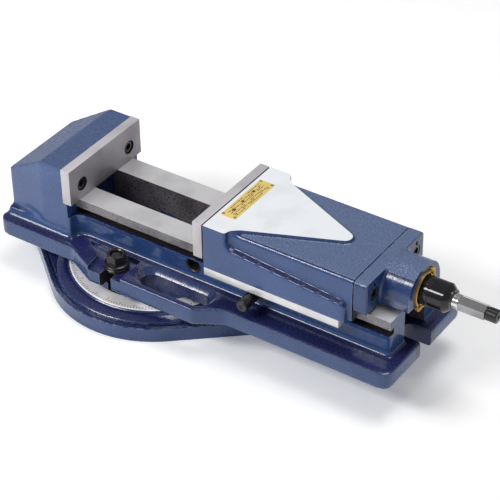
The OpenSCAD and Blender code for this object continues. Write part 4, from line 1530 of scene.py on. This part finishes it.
@dataclass
class RearFlange:
    """The flange that closes the jaw, with its long boss for the spindle."""

    shop: Workshop
    voxel: float = 1.3
    relax: int = 6
    half: float = 71.0
    edge: float = 7.0
    thick: float = 20.0
    bore_r: float = 18.95
    boss_r: float = 35.0
    lobe_r: float = 29.0
    flank: float = 40.0
    pocket_y: float = 52.0
    pocket_r: float = 9.5
    pocket_depth: float = 12.5

    def __post_init__(self) -> None:
        """Reads the stations from the frame."""
        low, high = low_of("rear_flange"), high_of("rear_flange")
        self.x0, self.x1 = low.x, high.x
        z_rail = low_of("fixed_jaw_plate").z
        self.x_face = self.x0 + self.thick
        self.z_top = z_rail + 51
        self.z_axis = z_rail + 20
        self.z_low = self.z_top - 46

    def build(self) -> None:
        """Casts and machines the flange."""
        shape = Solid()
        edge, end = self.edge, self.x1 + 4
        plate = [(self.half, self.z_low)] + arc((self.half - edge, self.z_top - edge), edge, 0, 90, 5)
        shape.prism(section(plate), self.x0 - 4, self.x_face, Axis.X)
        shape.rod((self.x_face - 6, 0, self.z_axis), end - self.x_face + 6, self.lobe_r, Axis.X)
        rise = self.boss_r + 3
        turns = [math.radians(6 * i) for i in range(15)]
        arch = [(self.flank, self.z_low + 0.5)]
        arch += [(self.flank * math.cos(t) ** 0.8, self.z_axis - 3 + rise * math.sin(t)) for t in turns]
        shape.add(Solid().prism(section(arch), self.x_face - 6, end, Axis.X))
        shape.cast(self.voxel, self.relax)
        screw = low_of("flange_screws"), high_of("flange_screws")
        y, z = (abs(screw[0].y) + abs(screw[1].y)) / 2 - 9, (screw[0].z + screw[1].z) / 2
        pockets = Solid().rod((self.x_face - self.pocket_depth, y, z), 30, self.pocket_r, Axis.X)
        holes = Solid().rod((self.x_face - 25, y, z + 13), 30, 3.0, Axis.X)
        shape.cut(
            Solid().box((self.x0 - 20, -FAR, 0), (self.x0, FAR, HIGH)),
            Solid().box((self.x1, -FAR, 0), (self.x1 + 30, FAR, HIGH)),
            Solid().rod((self.x0 - 10, 0, self.z_axis), 100, self.bore_r, Axis.X),
            pockets.both_sides(), holes.both_sides(),
            joint_groove(self.x0, self.half - 0.5, self.z_low - 10, self.z_top, edge),
        )
        self.shop.piece(
            "flange_casting", shape, "jaw", [Finish.CROWN, Finish.MILLED, Finish.RECESS_SHADE, Finish.FLANK_SHADE],
            nodes=["rear_flange"], slot="cast_paint", where=self.finish_at, sharp=40,
        )

    def finish_at(self, centre: Vector, normal: Vector) -> Finish:
        """Dark joint groove, painted shade in the pockets, milled joint face and bore, rough enamel on top,
        darker enamel as painted shade on the sides.

        Args:
            centre: The face's centre.
            normal: The face's normal.

        Returns:
            The face's finish.
        """
        x, across = centre.x, abs(normal.x) < 0.5
        in_pocket = self.x_face - self.pocket_depth - 0.5 < x < self.x_face - 0.2
        in_pocket = in_pocket and abs(abs(centre.y) - self.pocket_y) < self.pocket_r + 0.1
        # dark joint line at the groove, painted shade in the screw pockets
        if across and (x < self.x0 + 0.95 or in_pocket and centre.z < self.z_axis + 30):
            return Finish.RECESS_SHADE
        if x < self.x0 + 0.05 or math.hypot(centre.y, centre.z - self.z_axis) < self.bore_r + 0.25:
            return Finish.MILLED
        # sides and boss shoulders get the painted-shade enamel
        steepest = 0.5 if x < self.x_face + 2 else 0.8
        return Finish.CROWN if normal.z > steepest else Finish.FLANK_SHADE


# ---------------------------------------------------------------- jaw plates


@dataclass
class JawPlates:
    """Both ground plates, their screws, the keepers and the rating plate."""

    shop: Workshop
    bore_r: float = 6.5
    recess_r: float = 10.0
    recess: float = 13.5
    screw_y: float = 53.0
    screw_rise: float = 22.5
    head_r: float = 9.0
    head_h: float = 12.0
    shank_r: float = 5.9
    keeper_wall: float = 61.0
    keeper_h: float = 12.0

    def plate(self, name: str, body: str, node: str, screws: str, facing: int) -> None:
        """Makes one plate and its pair of screws.

        Args:
            name: Prefix of the two pieces.
            body: The body they ride on.
            node: The plate's CAD node.
            screws: The screws' CAD node.
            facing: +1 where the gripping face looks along +X, -1 where it looks back.
        """
        low, high = low_of(node), high_of(node)
        grip = high.x if facing > 0 else low.x
        z = low.z + self.screw_rise
        slab = Solid().box(tuple(low), tuple(high), 0.7, 2)
        bore = Solid().rod((low.x - 2, self.screw_y, z), high.x - low.x + 4, self.bore_r, Axis.X, 48)
        start = grip - self.recess if facing > 0 else grip - 2
        pocket = Solid().rod((start, self.screw_y, z), self.recess + 2, self.recess_r, Axis.X, 48)
        rim = self.recess_r + 0.4
        flare = [(a * facing, r) for a, r in ((0, 0), (0, self.recess_r), (0.4, rim), (1.0, rim), (1.0, 0))]
        lip = Solid().lathe(flare, (grip - 0.4 * facing, self.screw_y, z), Axis.X, 48)
        slab.cut(bore.both_sides(), pocket.both_sides(), lip.both_sides())

        def finish_at(centre: Vector, normal: Vector) -> Finish:
            """Painted shade in the bores, a darker painted-shade copy of the ground steel on the grip face
            and back, lighter top and edges.

            Args:
                centre: The face's centre.
                normal: The face's normal.

            Returns:
                The face's finish.
            """
            # painted shade in the screw bores
            if math.hypot(abs(centre.y) - self.screw_y, centre.z - z) < self.recess_r + 0.2:
                return Finish.RECESS_SHADE
            # faces across X get the darker painted-shade steel
            return Finish.GRIP_SHADE if abs(normal.x) > 0.9 else Finish.PLATE

        self.shop.piece(f"{name}_plate", slab, body, [Finish.PLATE, Finish.RECESS_SHADE, Finish.GRIP_SHADE],
                        nodes=[node], slot="ground_steel", where=finish_at, sharp=35)
        head = grip - (self.recess - self.head_h) * facing
        self.screws(f"{name}_screws", body, screws, (head, self.screw_y, z), facing)

    def screws(self, name: str, body: str, node: str, head: Corner, facing: int) -> None:
        """Makes a pair of knurled socket cap screws.

        Args:
            name: The piece's name.
            body: The body it rides on.
            node: The screws' CAD node.
            head: Centre of one head's top.
            facing: +1 where the heads look along +X, -1 where they look back.
        """
        depth, r, shank = self.head_h, self.head_r, self.shank_r
        length = (high_of(node) - low_of(node)).x
        profile = [
            (0, 0), (0, r - 1.0), (-0.3, r - 0.4), (-1.0, r), (-depth, r), (-depth, shank),
            (-length, shank), (-length, 0),
        ]
        shape = Solid().lathe([(a * facing, b) for a, b in profile], head, Axis.X, 48)
        socket = [(-7, 0), (-6, 5.7), (-0.4, 5.7), (1, 6.4), (1, 0)]
        hexagon = Solid().lathe([(a * facing, b) for a, b in socket], head, Axis.X, 6)
        place = Matrix.Translation(head) @ Matrix.Scale(facing, 4, (1, 0, 0))
        knurl = Solid()
        for i in range(36):
            turn = math.radians(10 * i)
            groove = Solid().box((-11, r - 0.22, -0.24), (-1.4, r + 0.3, 0.24))
            groove.moved(place @ Matrix.Rotation(turn, 4, "X"))
            bmesh.ops.recalc_face_normals(groove.bm, faces=groove.bm.faces)
            knurl.add(groove)
        shape.cut(hexagon, knurl)
        self.shop.piece(name, shape.both_sides(), body, [Finish.BLACK],
                        nodes=[node], slot="black_steel", sharp=35)

    def keepers(self) -> None:
        """Bright keeper strips below both skirts."""
        for name in ("near_keeper", "far_keeper"):
            low, high = low_of(name), high_of(name)
            side = 1 if high.y > 0 else -1
            outer, inner = (high.y, low.y) if side > 0 else (low.y, high.y)
            wall = side * self.keeper_wall
            seat = high.z - self.keeper_h
            bar = Solid().box(
                (low.x, min(wall, outer), seat), (high.x, max(wall, outer), high.z), 0.6, 2)
            lip_top = high.z - 1 - 0.3
            lip_low = low.z if low.z > seat else lip_top - 7.6
            lip = Solid().box(
                (low.x, min(inner, wall + side), lip_low), (high.x, max(inner, wall + side), lip_top), 0.4, 1)
            bar.cut(lip, join=True)
            screws = low_of("keeper_screws"), high_of("keeper_screws")
            first, last = screws[0].x + 6.5, screws[1].x - 6.5
            holes = Solid()
            for i in range(4):
                x = first + i * (last - first) / 3
                holes.rod((x, side * 70.5, high.z - 20), 16.5, 7.0)
            bar.cut(holes)
            self.shop.piece(
                f"{name}_strip", bar, "jaw", [Finish.KEEPER, Finish.MILLED], nodes=[name],
                slot="ground_steel", sharp=35,
                where=lambda centre, normal: Finish.MILLED if normal.z < -0.5 else Finish.KEEPER)

    def rating_plate(self) -> None:
        """Yellow plate with rows of plain printed marks and three small red squares."""
        low, high = low_of("rating_plate"), high_of("rating_plate")
        slab = Solid().box(tuple(low), tuple(high), 0.12, 1)
        self.shop.piece("label_plate", slab, "jaw", [Finish.LABEL], nodes=["rating_plate"], slot="label")
        marks = Solid()
        top = high.z
        row = 0
        x = low.x + 3.2
        while x < high.x - 3:
            y = low.y + 9
            col = 0
            while y < high.y - 9:
                length = 2.2 + 3.4 * abs(math.sin(2.3 * col + 1.7 * row))
                if (row * 5 + col * 3) % 7 not in (0, 3):
                    marks.box((x, y, top - 0.05), (x + 1.1, min(y + length, high.y - 9), top + 0.03))
                y += length + 1.3
                col += 1
            x += 2.3 if row % 3 else 3.4
            row += 1
        self.shop.piece("label_marks", marks, "jaw", [Finish.PRINT], slot="label")
        spots = Solid()
        for i, y in enumerate((low.y + 16, low.y + 38, high.y - 30)):
            spots.box((low.x + 8 - i, y, top - 0.05), (low.x + 11.5 - i, y + 4.5, top + 0.045))
        self.shop.piece("label_squares", spots, "jaw", [Finish.RED_PRINT], slot="label")

    def build(self) -> None:
        """Makes the plates, screws, keepers and the rating plate."""
        self.plate("fixed", "vise", "fixed_jaw_plate", "fixed_jaw_screws", 1)
        self.plate("moving", "jaw", "movable_jaw_plate", "movable_jaw_screws", -1)
        self.keepers()
        self.rating_plate()


# ---------------------------------------------------------------- clamps and pin


@dataclass
class SwivelClamp:
    """Clamp studs with washers and collar nuts on both sides."""

    shop: Workshop
    stud_r: float = 8.0
    pitch: float = 2.0
    nut_af: float = 24.0
    collar_r: float = 17.0
    washer_r: float = 17.5
    washer_bore: float = 8.6

    def build(self) -> None:
        """Makes the studs, the washers and both nuts."""
        low, high = low_of("clamp_t_bolts"), high_of("clamp_t_bolts")
        y = high.y - 13
        studs = Solid().box((-14.5, y - 13, low.z), (14.5, y + 13, low.z + 9), 0.8, 2)
        studs.rod((0, y, low.z + 8), high.z - low.z - 9, self.stud_r - 0.75, steps=48)
        studs.rod((0, y, high.z - 1), 1.0, self.stud_r - 0.75, steps=48, end_radius=self.stud_r - 1.9)
        studs.add(Thread(self.stud_r - 1.1, self.stud_r, self.pitch).solid((0, y, high.z - 30), 28, Axis.Z))
        self.shop.piece("clamp_studs", studs.both_sides(), "vise", [Finish.BLACK], nodes=["clamp_t_bolts"],
                        slot="black_steel", sharp=30)
        z0, r, bore = low_of("clamp_washers").z, self.washer_r, self.washer_bore
        thick = high_of("clamp_washers").z - z0
        rim = [(0, r - 0.6), (0.6, r), (thick - 0.6, r), (thick, r - 0.6)]
        washer = Solid().lathe([(0, bore)] + rim + [(thick, bore)], (0, y, z0), steps=64, ring=True)
        self.shop.piece("clamp_washer_pair", washer.both_sides(), "vise", [Finish.BLACK],
                        nodes=["clamp_washers"], slot="black_steel", sharp=30)
        for side, node, body in ((-1, "clamp_nut_near", "near_nut"), (1, "clamp_nut_far", "far_nut")):
            self.nut(side * y, node, body)

    def nut(self, y: float, node: str, body: str) -> None:
        """Makes one collar nut with chamfered hexagon corners and a countersunk bore.

        Args:
            y: The nut's place across the vise.
            node: The nut's CAD node.
            body: The body it rides on.
        """
        z0 = low_of(node).z
        tall = high_of(node).z - z0
        corner = self.nut_af / math.sqrt(3)
        hexagon = Solid().rod((0, y, z0), tall, corner, steps=6)
        dome = Solid().lathe([
            (-1, 0), (-1, corner + 2), (tall - 2.4, corner + 0.6), (tall, self.nut_af / 2 - 0.8), (tall, 0),
        ], (0, y, z0), steps=96)
        outside = Solid().box((-40, y - 40, z0 - 5), (40, y + 40, z0 + tall + 5)).cut(dome)
        hexagon.cut(outside)
        collar = Solid().lathe([
            (0, 0), (0, self.collar_r), (3.5, self.collar_r), (4.6, self.collar_r - 1.2),
            (5.0, self.collar_r - 3), (5.0, 0),
        ], (0, y, z0), steps=96)
        hexagon.cut(collar, join=True)
        bore = Solid().lathe([
            (-1, 0), (-1, 9.2), (1.1, 8.06), (tall - 1.2, 8.06), (tall + 0.2, 9.6), (tall + 0.2, 0),
        ], (0, y, z0), steps=64)
        hexagon.cut(bore)
        self.shop.piece(f"{node}_piece", hexagon, body, [Finish.BLACK],
                        nodes=[node], slot="black_steel", sharp=30)


@dataclass
class Thread:
    """A helical ridge around a core."""

    inner: float
    outer: float
    pitch: float
    steps: int = 20

    def solid(self, start: Corner, length: float, axis: Axis) -> Solid:
        """The ridge from a point along an axis.

        Args:
            start: Where the ridge starts on the axis.
            length: How far it runs.
            axis: The axis.

        Returns:
            The ridge.
        """
        ridge = Solid()
        root, crest, foot, tip = self.inner - 0.3, self.outer, 0.46 * self.pitch, 0.08 * self.pitch
        profile = [(root, -foot), (crest, -tip), (crest, tip), (root, foot)]
        verts = [ridge.bm.verts.new((r, 0, z)) for r, z in profile]
        face = ridge.bm.faces.new(verts)
        turns = length / self.pitch
        count = int(turns * self.steps)
        bmesh.ops.spin(
            ridge.bm, geom=[face] + list(face.edges) + verts, cent=(0, 0, 0), axis=(0, 0, 1),
            dvec=(0, 0, length / count), angle=2 * math.pi * turns, steps=count,
            use_merge=False, use_duplicate=False,
        )
        bmesh.ops.recalc_face_normals(ridge.bm, faces=ridge.bm.faces)
        return ridge.moved(Matrix.Translation(start) @ axis.turn())


@dataclass
class Knurl:
    """A diamond-knurled barrel."""

    radius: float
    depth: float = 0.45
    count: int = 30
    lead: float = 0.55

    def solid(self, start: Corner, length: float, axis: Axis, chamfer: float = 1.2) -> Solid:
        """The barrel from a point along an axis, with chamfered ends.

        Args:
            start: Where the barrel starts on the axis.
            length: How long it is.
            axis: The axis.
            chamfer: Width of the chamfer at both ends.

        Returns:
            The barrel.
        """
        rows = max(8, int(length / 0.75))
        profile = [(0.0, 0.0), (0.0, self.radius - chamfer)]
        profile += [(chamfer + (length - 2 * chamfer) * i / rows, self.radius) for i in range(rows + 1)]
        profile += [(length, self.radius - chamfer), (length, 0.0)]
        shape = Solid().lathe(profile, steps=self.count * 4)
        for vert in shape.bm.verts:
            if vert.co.xy.length > self.radius - 0.01:
                turn = math.atan2(vert.co.y, vert.co.x) * self.count / 2
                rise = vert.co.z * self.lead * 2
                wave = abs(math.sin(turn + rise)) * abs(math.sin(turn - rise))
                vert.co.xy *= 1 - self.depth * (1 - wave) / self.radius
        return shape.moved(Matrix.Translation(start) @ axis.turn())


@dataclass
class LocatingPin:
    """Pin with a knurled knob that holds the nut block."""

    shop: Workshop
    shank_r: float = 9.5
    knob_r: float = 8.5
    wall: float = 60.0

    def build(self) -> None:
        """Makes the pin."""
        low, high = low_of("locating_pin"), high_of("locating_pin")
        x, z = (low.x + high.x) / 2, (low.z + high.z) / 2
        wall = -self.wall
        shape = Solid().lathe([
            (0, 0), (0, self.shank_r), (high.y - wall - 1, self.shank_r), (high.y - wall, self.shank_r - 1),
            (high.y - wall, 0),
        ], (x, wall, z), Axis.Y)
        shape.rod((x, wall - 6, z), 8, self.knob_r - 1.4, Axis.Y)
        knob = Knurl(self.knob_r).solid((x, low.y + 0.2, z), wall - low.y - 4, Axis.Y)
        dimple = Solid().rod((x, low.y - 1, z), 2.4, 4.5, Axis.Y, end_radius=2.2)
        knob.cut(dimple)
        shape.add(knob)
        self.shop.piece("locating_pin_piece", shape, "pin", [Finish.BLACK], nodes=["locating_pin"],
                        slot="black_steel", sharp=50)


# ---------------------------------------------------------------- spindle


@dataclass
class Spindle:
    """Everything that turns at the spindle end, and the ring that holds it."""

    shop: Workshop
    screw_r: float = 19.0
    pitch: float = 5.0
    sleeve_r: float = 20.0
    hex_af: float = 19.0
    hex_length: float = 37.0
    ear_r: float = 24.5

    def __post_init__(self) -> None:
        """Reads the axis from the frame."""
        low, high = low_of("clutch_sleeve"), high_of("clutch_sleeve")
        self.z = (low.z + high.z) / 2

    def retaining_ring(self) -> None:
        """Gold ring with two screw ears and their slotted screws."""
        x0, x1 = low_of("retaining_ring").x, high_of("retaining_ring").x
        ring = Solid().lathe([
            (x0, 17.5), (x0, 25), (x1 - 0.5, 25), (x1, 24.5), (x1, 23.0), (x1 - 1.5, 22.6), (x1 - 1.5, 17.5),
        ], (0, 0, self.z), Axis.X, 96, True)
        profile = [(-9, 0), (-9, 1.9), (0, 1.9), (0, 3.5), (1.2, 3.4), (2.0, 2.7), (2.2, 1.6), (2.2, 0)]
        heads = Solid()
        for degree in (50, 230):
            turn = math.radians(degree)
            y, z = self.ear_r * math.cos(turn), self.z + self.ear_r * math.sin(turn)
            ring.cut(Solid().rod((x0, y, z), x1 - x0 - 0.01, 5.5, Axis.X, 40), join=True)
            head = Solid().lathe(profile, (x1, y, z), Axis.X, 32)
            slot = Solid().box((x1 + 1.1, -5, -0.5), (x1 + 4, 5, 0.5))
            slot.moved(Matrix.Translation((0, y, z)) @ Matrix.Rotation(turn * 1.7, 4, "X"))
            heads.add(head.cut(slot))

        def finish_at(centre: Vector, normal: Vector) -> Finish:
            """Black inside as painted shade in the gap to the sleeve, gold outside."""
            inside = centre.x < x1 - 0.2 and math.hypot(centre.y, centre.z - self.z) < 22.7
            return Finish.BLACK if inside else Finish.GOLD

        self.shop.piece("retaining_ring_piece", ring, "jaw", [Finish.GOLD, Finish.BLACK],
                        nodes=["retaining_ring"], slot="gold_zinc", sharp=30, where=finish_at)
        self.shop.piece("ring_screw_pair", heads, "jaw", [Finish.GOLD],
                        nodes=["ring_screws"], slot="gold_zinc", sharp=30)

    def sleeve(self) -> None:
        """Black clutch sleeve: graduated collar, smooth barrel, cone nose."""
        x0, x1, r = low_of("clutch_sleeve").x, high_of("clutch_sleeve").x, self.sleeve_r
        nose = x1 - 7
        collar = [(0, 15.2), (0, r - 0.6), (0.6, r), (9, r), (9.5, r - 0.7), (10.5, r - 0.7), (11, r)]
        profile = [(x0 + a, b) for a, b in collar] + [
            (nose - 1.2, r), (nose - 0.2, r - 0.6), (x1 - 2.2, 15.2), (x1 - 1.6, 14.4), (x1, 14.2),
            (x1, 12.1), (nose - 3, 12.1), (nose - 3, 15.4), (x0 + 17, 15.4),
        ]
        shape = Solid().lathe(profile, (0, 0, self.z), Axis.X, 96, True)
        notches = Solid()
        for i in range(30):
            cut = Solid().box((x0 + 1.5, r - 0.5, -0.45), (x0 + 7.8, r + 1, 0.45))
            turn = Matrix.Rotation(math.radians(12 * i), 4, "X")
            notches.add(cut.moved(Matrix.Translation((0, 0, self.z)) @ turn))
        shape.cut(notches)
        self.shop.piece("clutch_sleeve_piece", shape, "spindle", [Finish.GLOSS], nodes=["clutch_sleeve"],
                        slot="black_steel", sharp=30)

    def drive(self) -> None:
        """Drive shaft: chrome neck, crank hexagon, groove and black round end."""
        low, high = low_of("drive_shaft"), high_of("drive_shaft")
        sleeve_end = high_of("clutch_sleeve").x
        hex0 = sleeve_end + 10
        hex1 = hex0 + self.hex_length
        neck = Solid().lathe([
            (low.x, 0), (low.x, 5.6), (low.x + 0.4, 6), (sleeve_end - 22, 6), (sleeve_end - 22, 14.5),
            (sleeve_end - 17, 14.5), (sleeve_end - 17, 10.5), (hex0 - 1.4, 10.5), (hex0 - 0.4, 9.9),
            (hex0 + 1, 9.4), (hex0 + 1, 0),
        ], (0, 0, self.z), Axis.X, 64)
        corner = self.hex_af / math.sqrt(3)
        hexagon = Solid().rod((hex0, 0, self.z), hex1 - hex0, corner, Axis.X, 6)
        rounding = Solid().lathe([
            (hex0 - 1, 0), (hex0 - 1, 9.2), (hex0 + 1.6, corner + 0.3), (hex1 - 1.6, corner + 0.3),
            (hex1 + 1, 9.2), (hex1 + 1, 0),
        ], (0, 0, self.z), Axis.X, 96)
        outside = Solid().box((hex0 - 5, -30, self.z - 30), (hex1 + 5, 30, self.z + 30)).cut(rounding)
        hexagon.cut(outside)
        tip = Solid().lathe([
            (hex1 - 1, 0), (hex1 - 1, 8.2), (hex1 + 2, 8.2), (hex1 + 2.6, 9.2), (high.x - 1.6, 9.2),
            (high.x - 0.4, 8.4), (high.x, 7.2), (high.x, 0),
        ], (0, 0, self.z), Axis.X, 64)
        tip.cut(Solid().rod((high.x - 2.2, 0, self.z), 4, 2.4, Axis.X, 32, 3.4))
        neck.add(hexagon).add(tip)

        def finish_at(centre: Vector, normal: Vector) -> Finish:
            """Chrome neck, turned hexagon, black tip."""
            if centre.x < hex0 - 0.1:
                return Finish.CHROME
            return Finish.TURNED if centre.x < hex1 + 0.1 else Finish.BLACK

        self.shop.piece("drive_shaft_piece", neck, "drive", [Finish.CHROME, Finish.TURNED, Finish.BLACK],
                        nodes=["drive_shaft"], slot="turned_steel", where=finish_at, sharp=28)

    def screw(self) -> None:
        """Lead screw with its thread, collar and journal."""
        low, high = low_of("lead_screw"), high_of("lead_screw")
        collar = high_of("thrust_washers").x - 13
        core = self.screw_r - 2.6
        profile = [
            (low.x, 12.1), (low.x, core - 1), (low.x + 1, core), (collar, core), (collar, 22),
            (collar + 8, 22), (collar + 8, 15), (high.x, 15), (high.x, 12.1),
        ]
        shape = Solid().lathe(profile, (0, 0, self.z), Axis.X, 64, True)
        thread = Thread(core, self.screw_r - 0.02, self.pitch, 28)
        shape.add(thread.solid((low.x + 4, 0, self.z), collar - low.x - 8, Axis.X))
        self.shop.piece("lead_screw_piece", shape, "spindle", [Finish.TURNED], nodes=["lead_screw"],
                        slot="turned_steel", sharp=30)

    def build(self) -> None:
        """Makes the spindle's pieces."""
        self.retaining_ring()
        self.sleeve()
        self.drive()
        self.screw()


CARRIED: dict[str, Finish] = {
    "swivel_pivot": Finish.TURNED, "nut_block": Finish.IRON, "lead_nut": Finish.BRONZE,
    "nut_set_screws": Finish.BLACK, "keeper_screws": Finish.BLACK, "pressure_pad": Finish.TURNED,
    "flange_screws": Finish.BLACK, "flange_dowels": Finish.TURNED, "spindle_bush": Finish.BRONZE,
    "thrust_washers": Finish.TURNED, "thrust_rollers": Finish.CHROME, "shaft_bush": Finish.BLACK,
    "clutch_balls": Finish.CHROME, "clutch_springs": Finish.TURNED, "booster_ram": Finish.CHROME,
    "ram_seal": Finish.RUBBER, "ram_springs": Finish.TURNED, "ram_retainer": Finish.BLACK,
    "primary_piston": Finish.CHROME, "piston_seal": Finish.RUBBER, "rating_plate_rivets": Finish.CHROME,
}


@dataclass
class Studio:
    """Floor, soft lights and the camera."""

    shop: Workshop
    azimuth: float = 35.1
    elevation: float = 36.45
    roll: float = -1.28
    eye: Corner = (1.33505, -1.71351, 1.65052)
    lens: float = 139.66
    shift: Point = (0.0306, -0.0123)
    lamps: dict[str, tuple[Corner, Corner, Point, float]] = field(default_factory=lambda: {
        "key_lamp": ((-1.1, -1.6, 1.75), (-1.0, 0.0, 0.1), (1.4, 0.5), 42.0),
        "front_panel": ((0.4, -2.4, 0.7), (0.1, 0.0, 0.1), (1.6, 1.6), 2.0),
        "overhead_panel": ((0.4, 0.5, 2.7), (0.1, 0.0, 0.15), (1.3, 1.3), 32.0),
    })

    def floor(self) -> None:
        """Pale floor under the base."""
        shape = Solid()
        verts = bmesh.ops.create_grid(shape.bm, x_segments=1, y_segments=1, size=6000)["verts"]
        bmesh.ops.translate(shape.bm, vec=(0, 0, -0.2), verts=verts)
        bmesh.ops.scale(shape.bm, vec=(MM, MM, MM), verts=verts)
        mesh = bpy.data.meshes.new("studio_floor")
        shape.bm.to_mesh(mesh)
        mesh.materials.append(self.shop.finish(Finish.FLOOR))
        made = bpy.data.objects.new("studio_floor", mesh)
        bpy.context.scene.collection.objects.link(made)
        made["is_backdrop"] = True

    def light(self) -> None:
        """Soft panels and an even white surround."""
        for name, (place, aim, size, power) in self.lamps.items():
            lamp = bpy.data.lights.new(name, "AREA")
            lamp.shape = "RECTANGLE"
            lamp.size, lamp.size_y = size
            lamp.energy = power
            made = bpy.data.objects.new(name, lamp)
            made.location = place
            made.rotation_euler = (Vector(aim) - Vector(place)).to_track_quat("-Z", "Y").to_euler()
            bpy.context.scene.collection.objects.link(made)
        world = bpy.data.worlds.new("studio_world")
        world.use_nodes = True
        sky = world.node_tree.nodes["Background"]
        sky.inputs["Color"].default_value = (1.0, 1.0, 1.0, 1.0)
        sky.inputs["Strength"].default_value = 0.30
        bpy.context.scene.world = world

    def camera(self) -> None:
        """Camera on its stand, looking down at the near side."""
        az, el, roll = (math.radians(a) for a in (self.azimuth, self.elevation, self.roll))
        back = Vector((math.sin(az) * math.cos(el), -math.cos(az) * math.cos(el), math.sin(el)))
        side = Vector((0, 0, 1)).cross(back).normalized()
        up = back.cross(side)
        side, up = math.cos(roll) * side + math.sin(roll) * up, -math.sin(roll) * side + math.cos(roll) * up
        lens = bpy.data.cameras.new("camera")
        lens.lens = self.lens
        lens.sensor_width = 36.0
        lens.shift_x, lens.shift_y = self.shift
        lens.clip_end = 50.0
        made = bpy.data.objects.new("camera", lens)
        turn = Matrix((side, up, back)).transposed().to_4x4()
        made.matrix_world = Matrix.Translation(self.eye) @ turn
        bpy.context.scene.collection.objects.link(made)
        bpy.context.scene.camera = made
        bpy.context.scene.view_settings.view_transform = "Standard"

    def build(self) -> None:
        """Sets the stage."""
        self.floor()
        self.light()
        self.camera()


def main() -> None:
    """Builds the studio and every piece."""
    logging.basicConfig(level=logging.INFO, format="%(name)s: %(message)s")
    shop = Workshop()
    Studio(shop).build()
    for part in (
        SwivelBase(shop), BodyCasting(shop), JawCasting(shop), RearFlange(shop), JawPlates(shop),
        SwivelClamp(shop), LocatingPin(shop), Spindle(shop),
    ):
        part.build()
        log.info("%s done", type(part).__name__)
    for node, kind in CARRIED.items():
        shop.dress(node, kind)
    sizes = {"cad": cad_box, "visual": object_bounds()}
    {name: [list(corner) for corner in box] for name, box in sizes.items()}


if __name__ == "__main__":
    main()
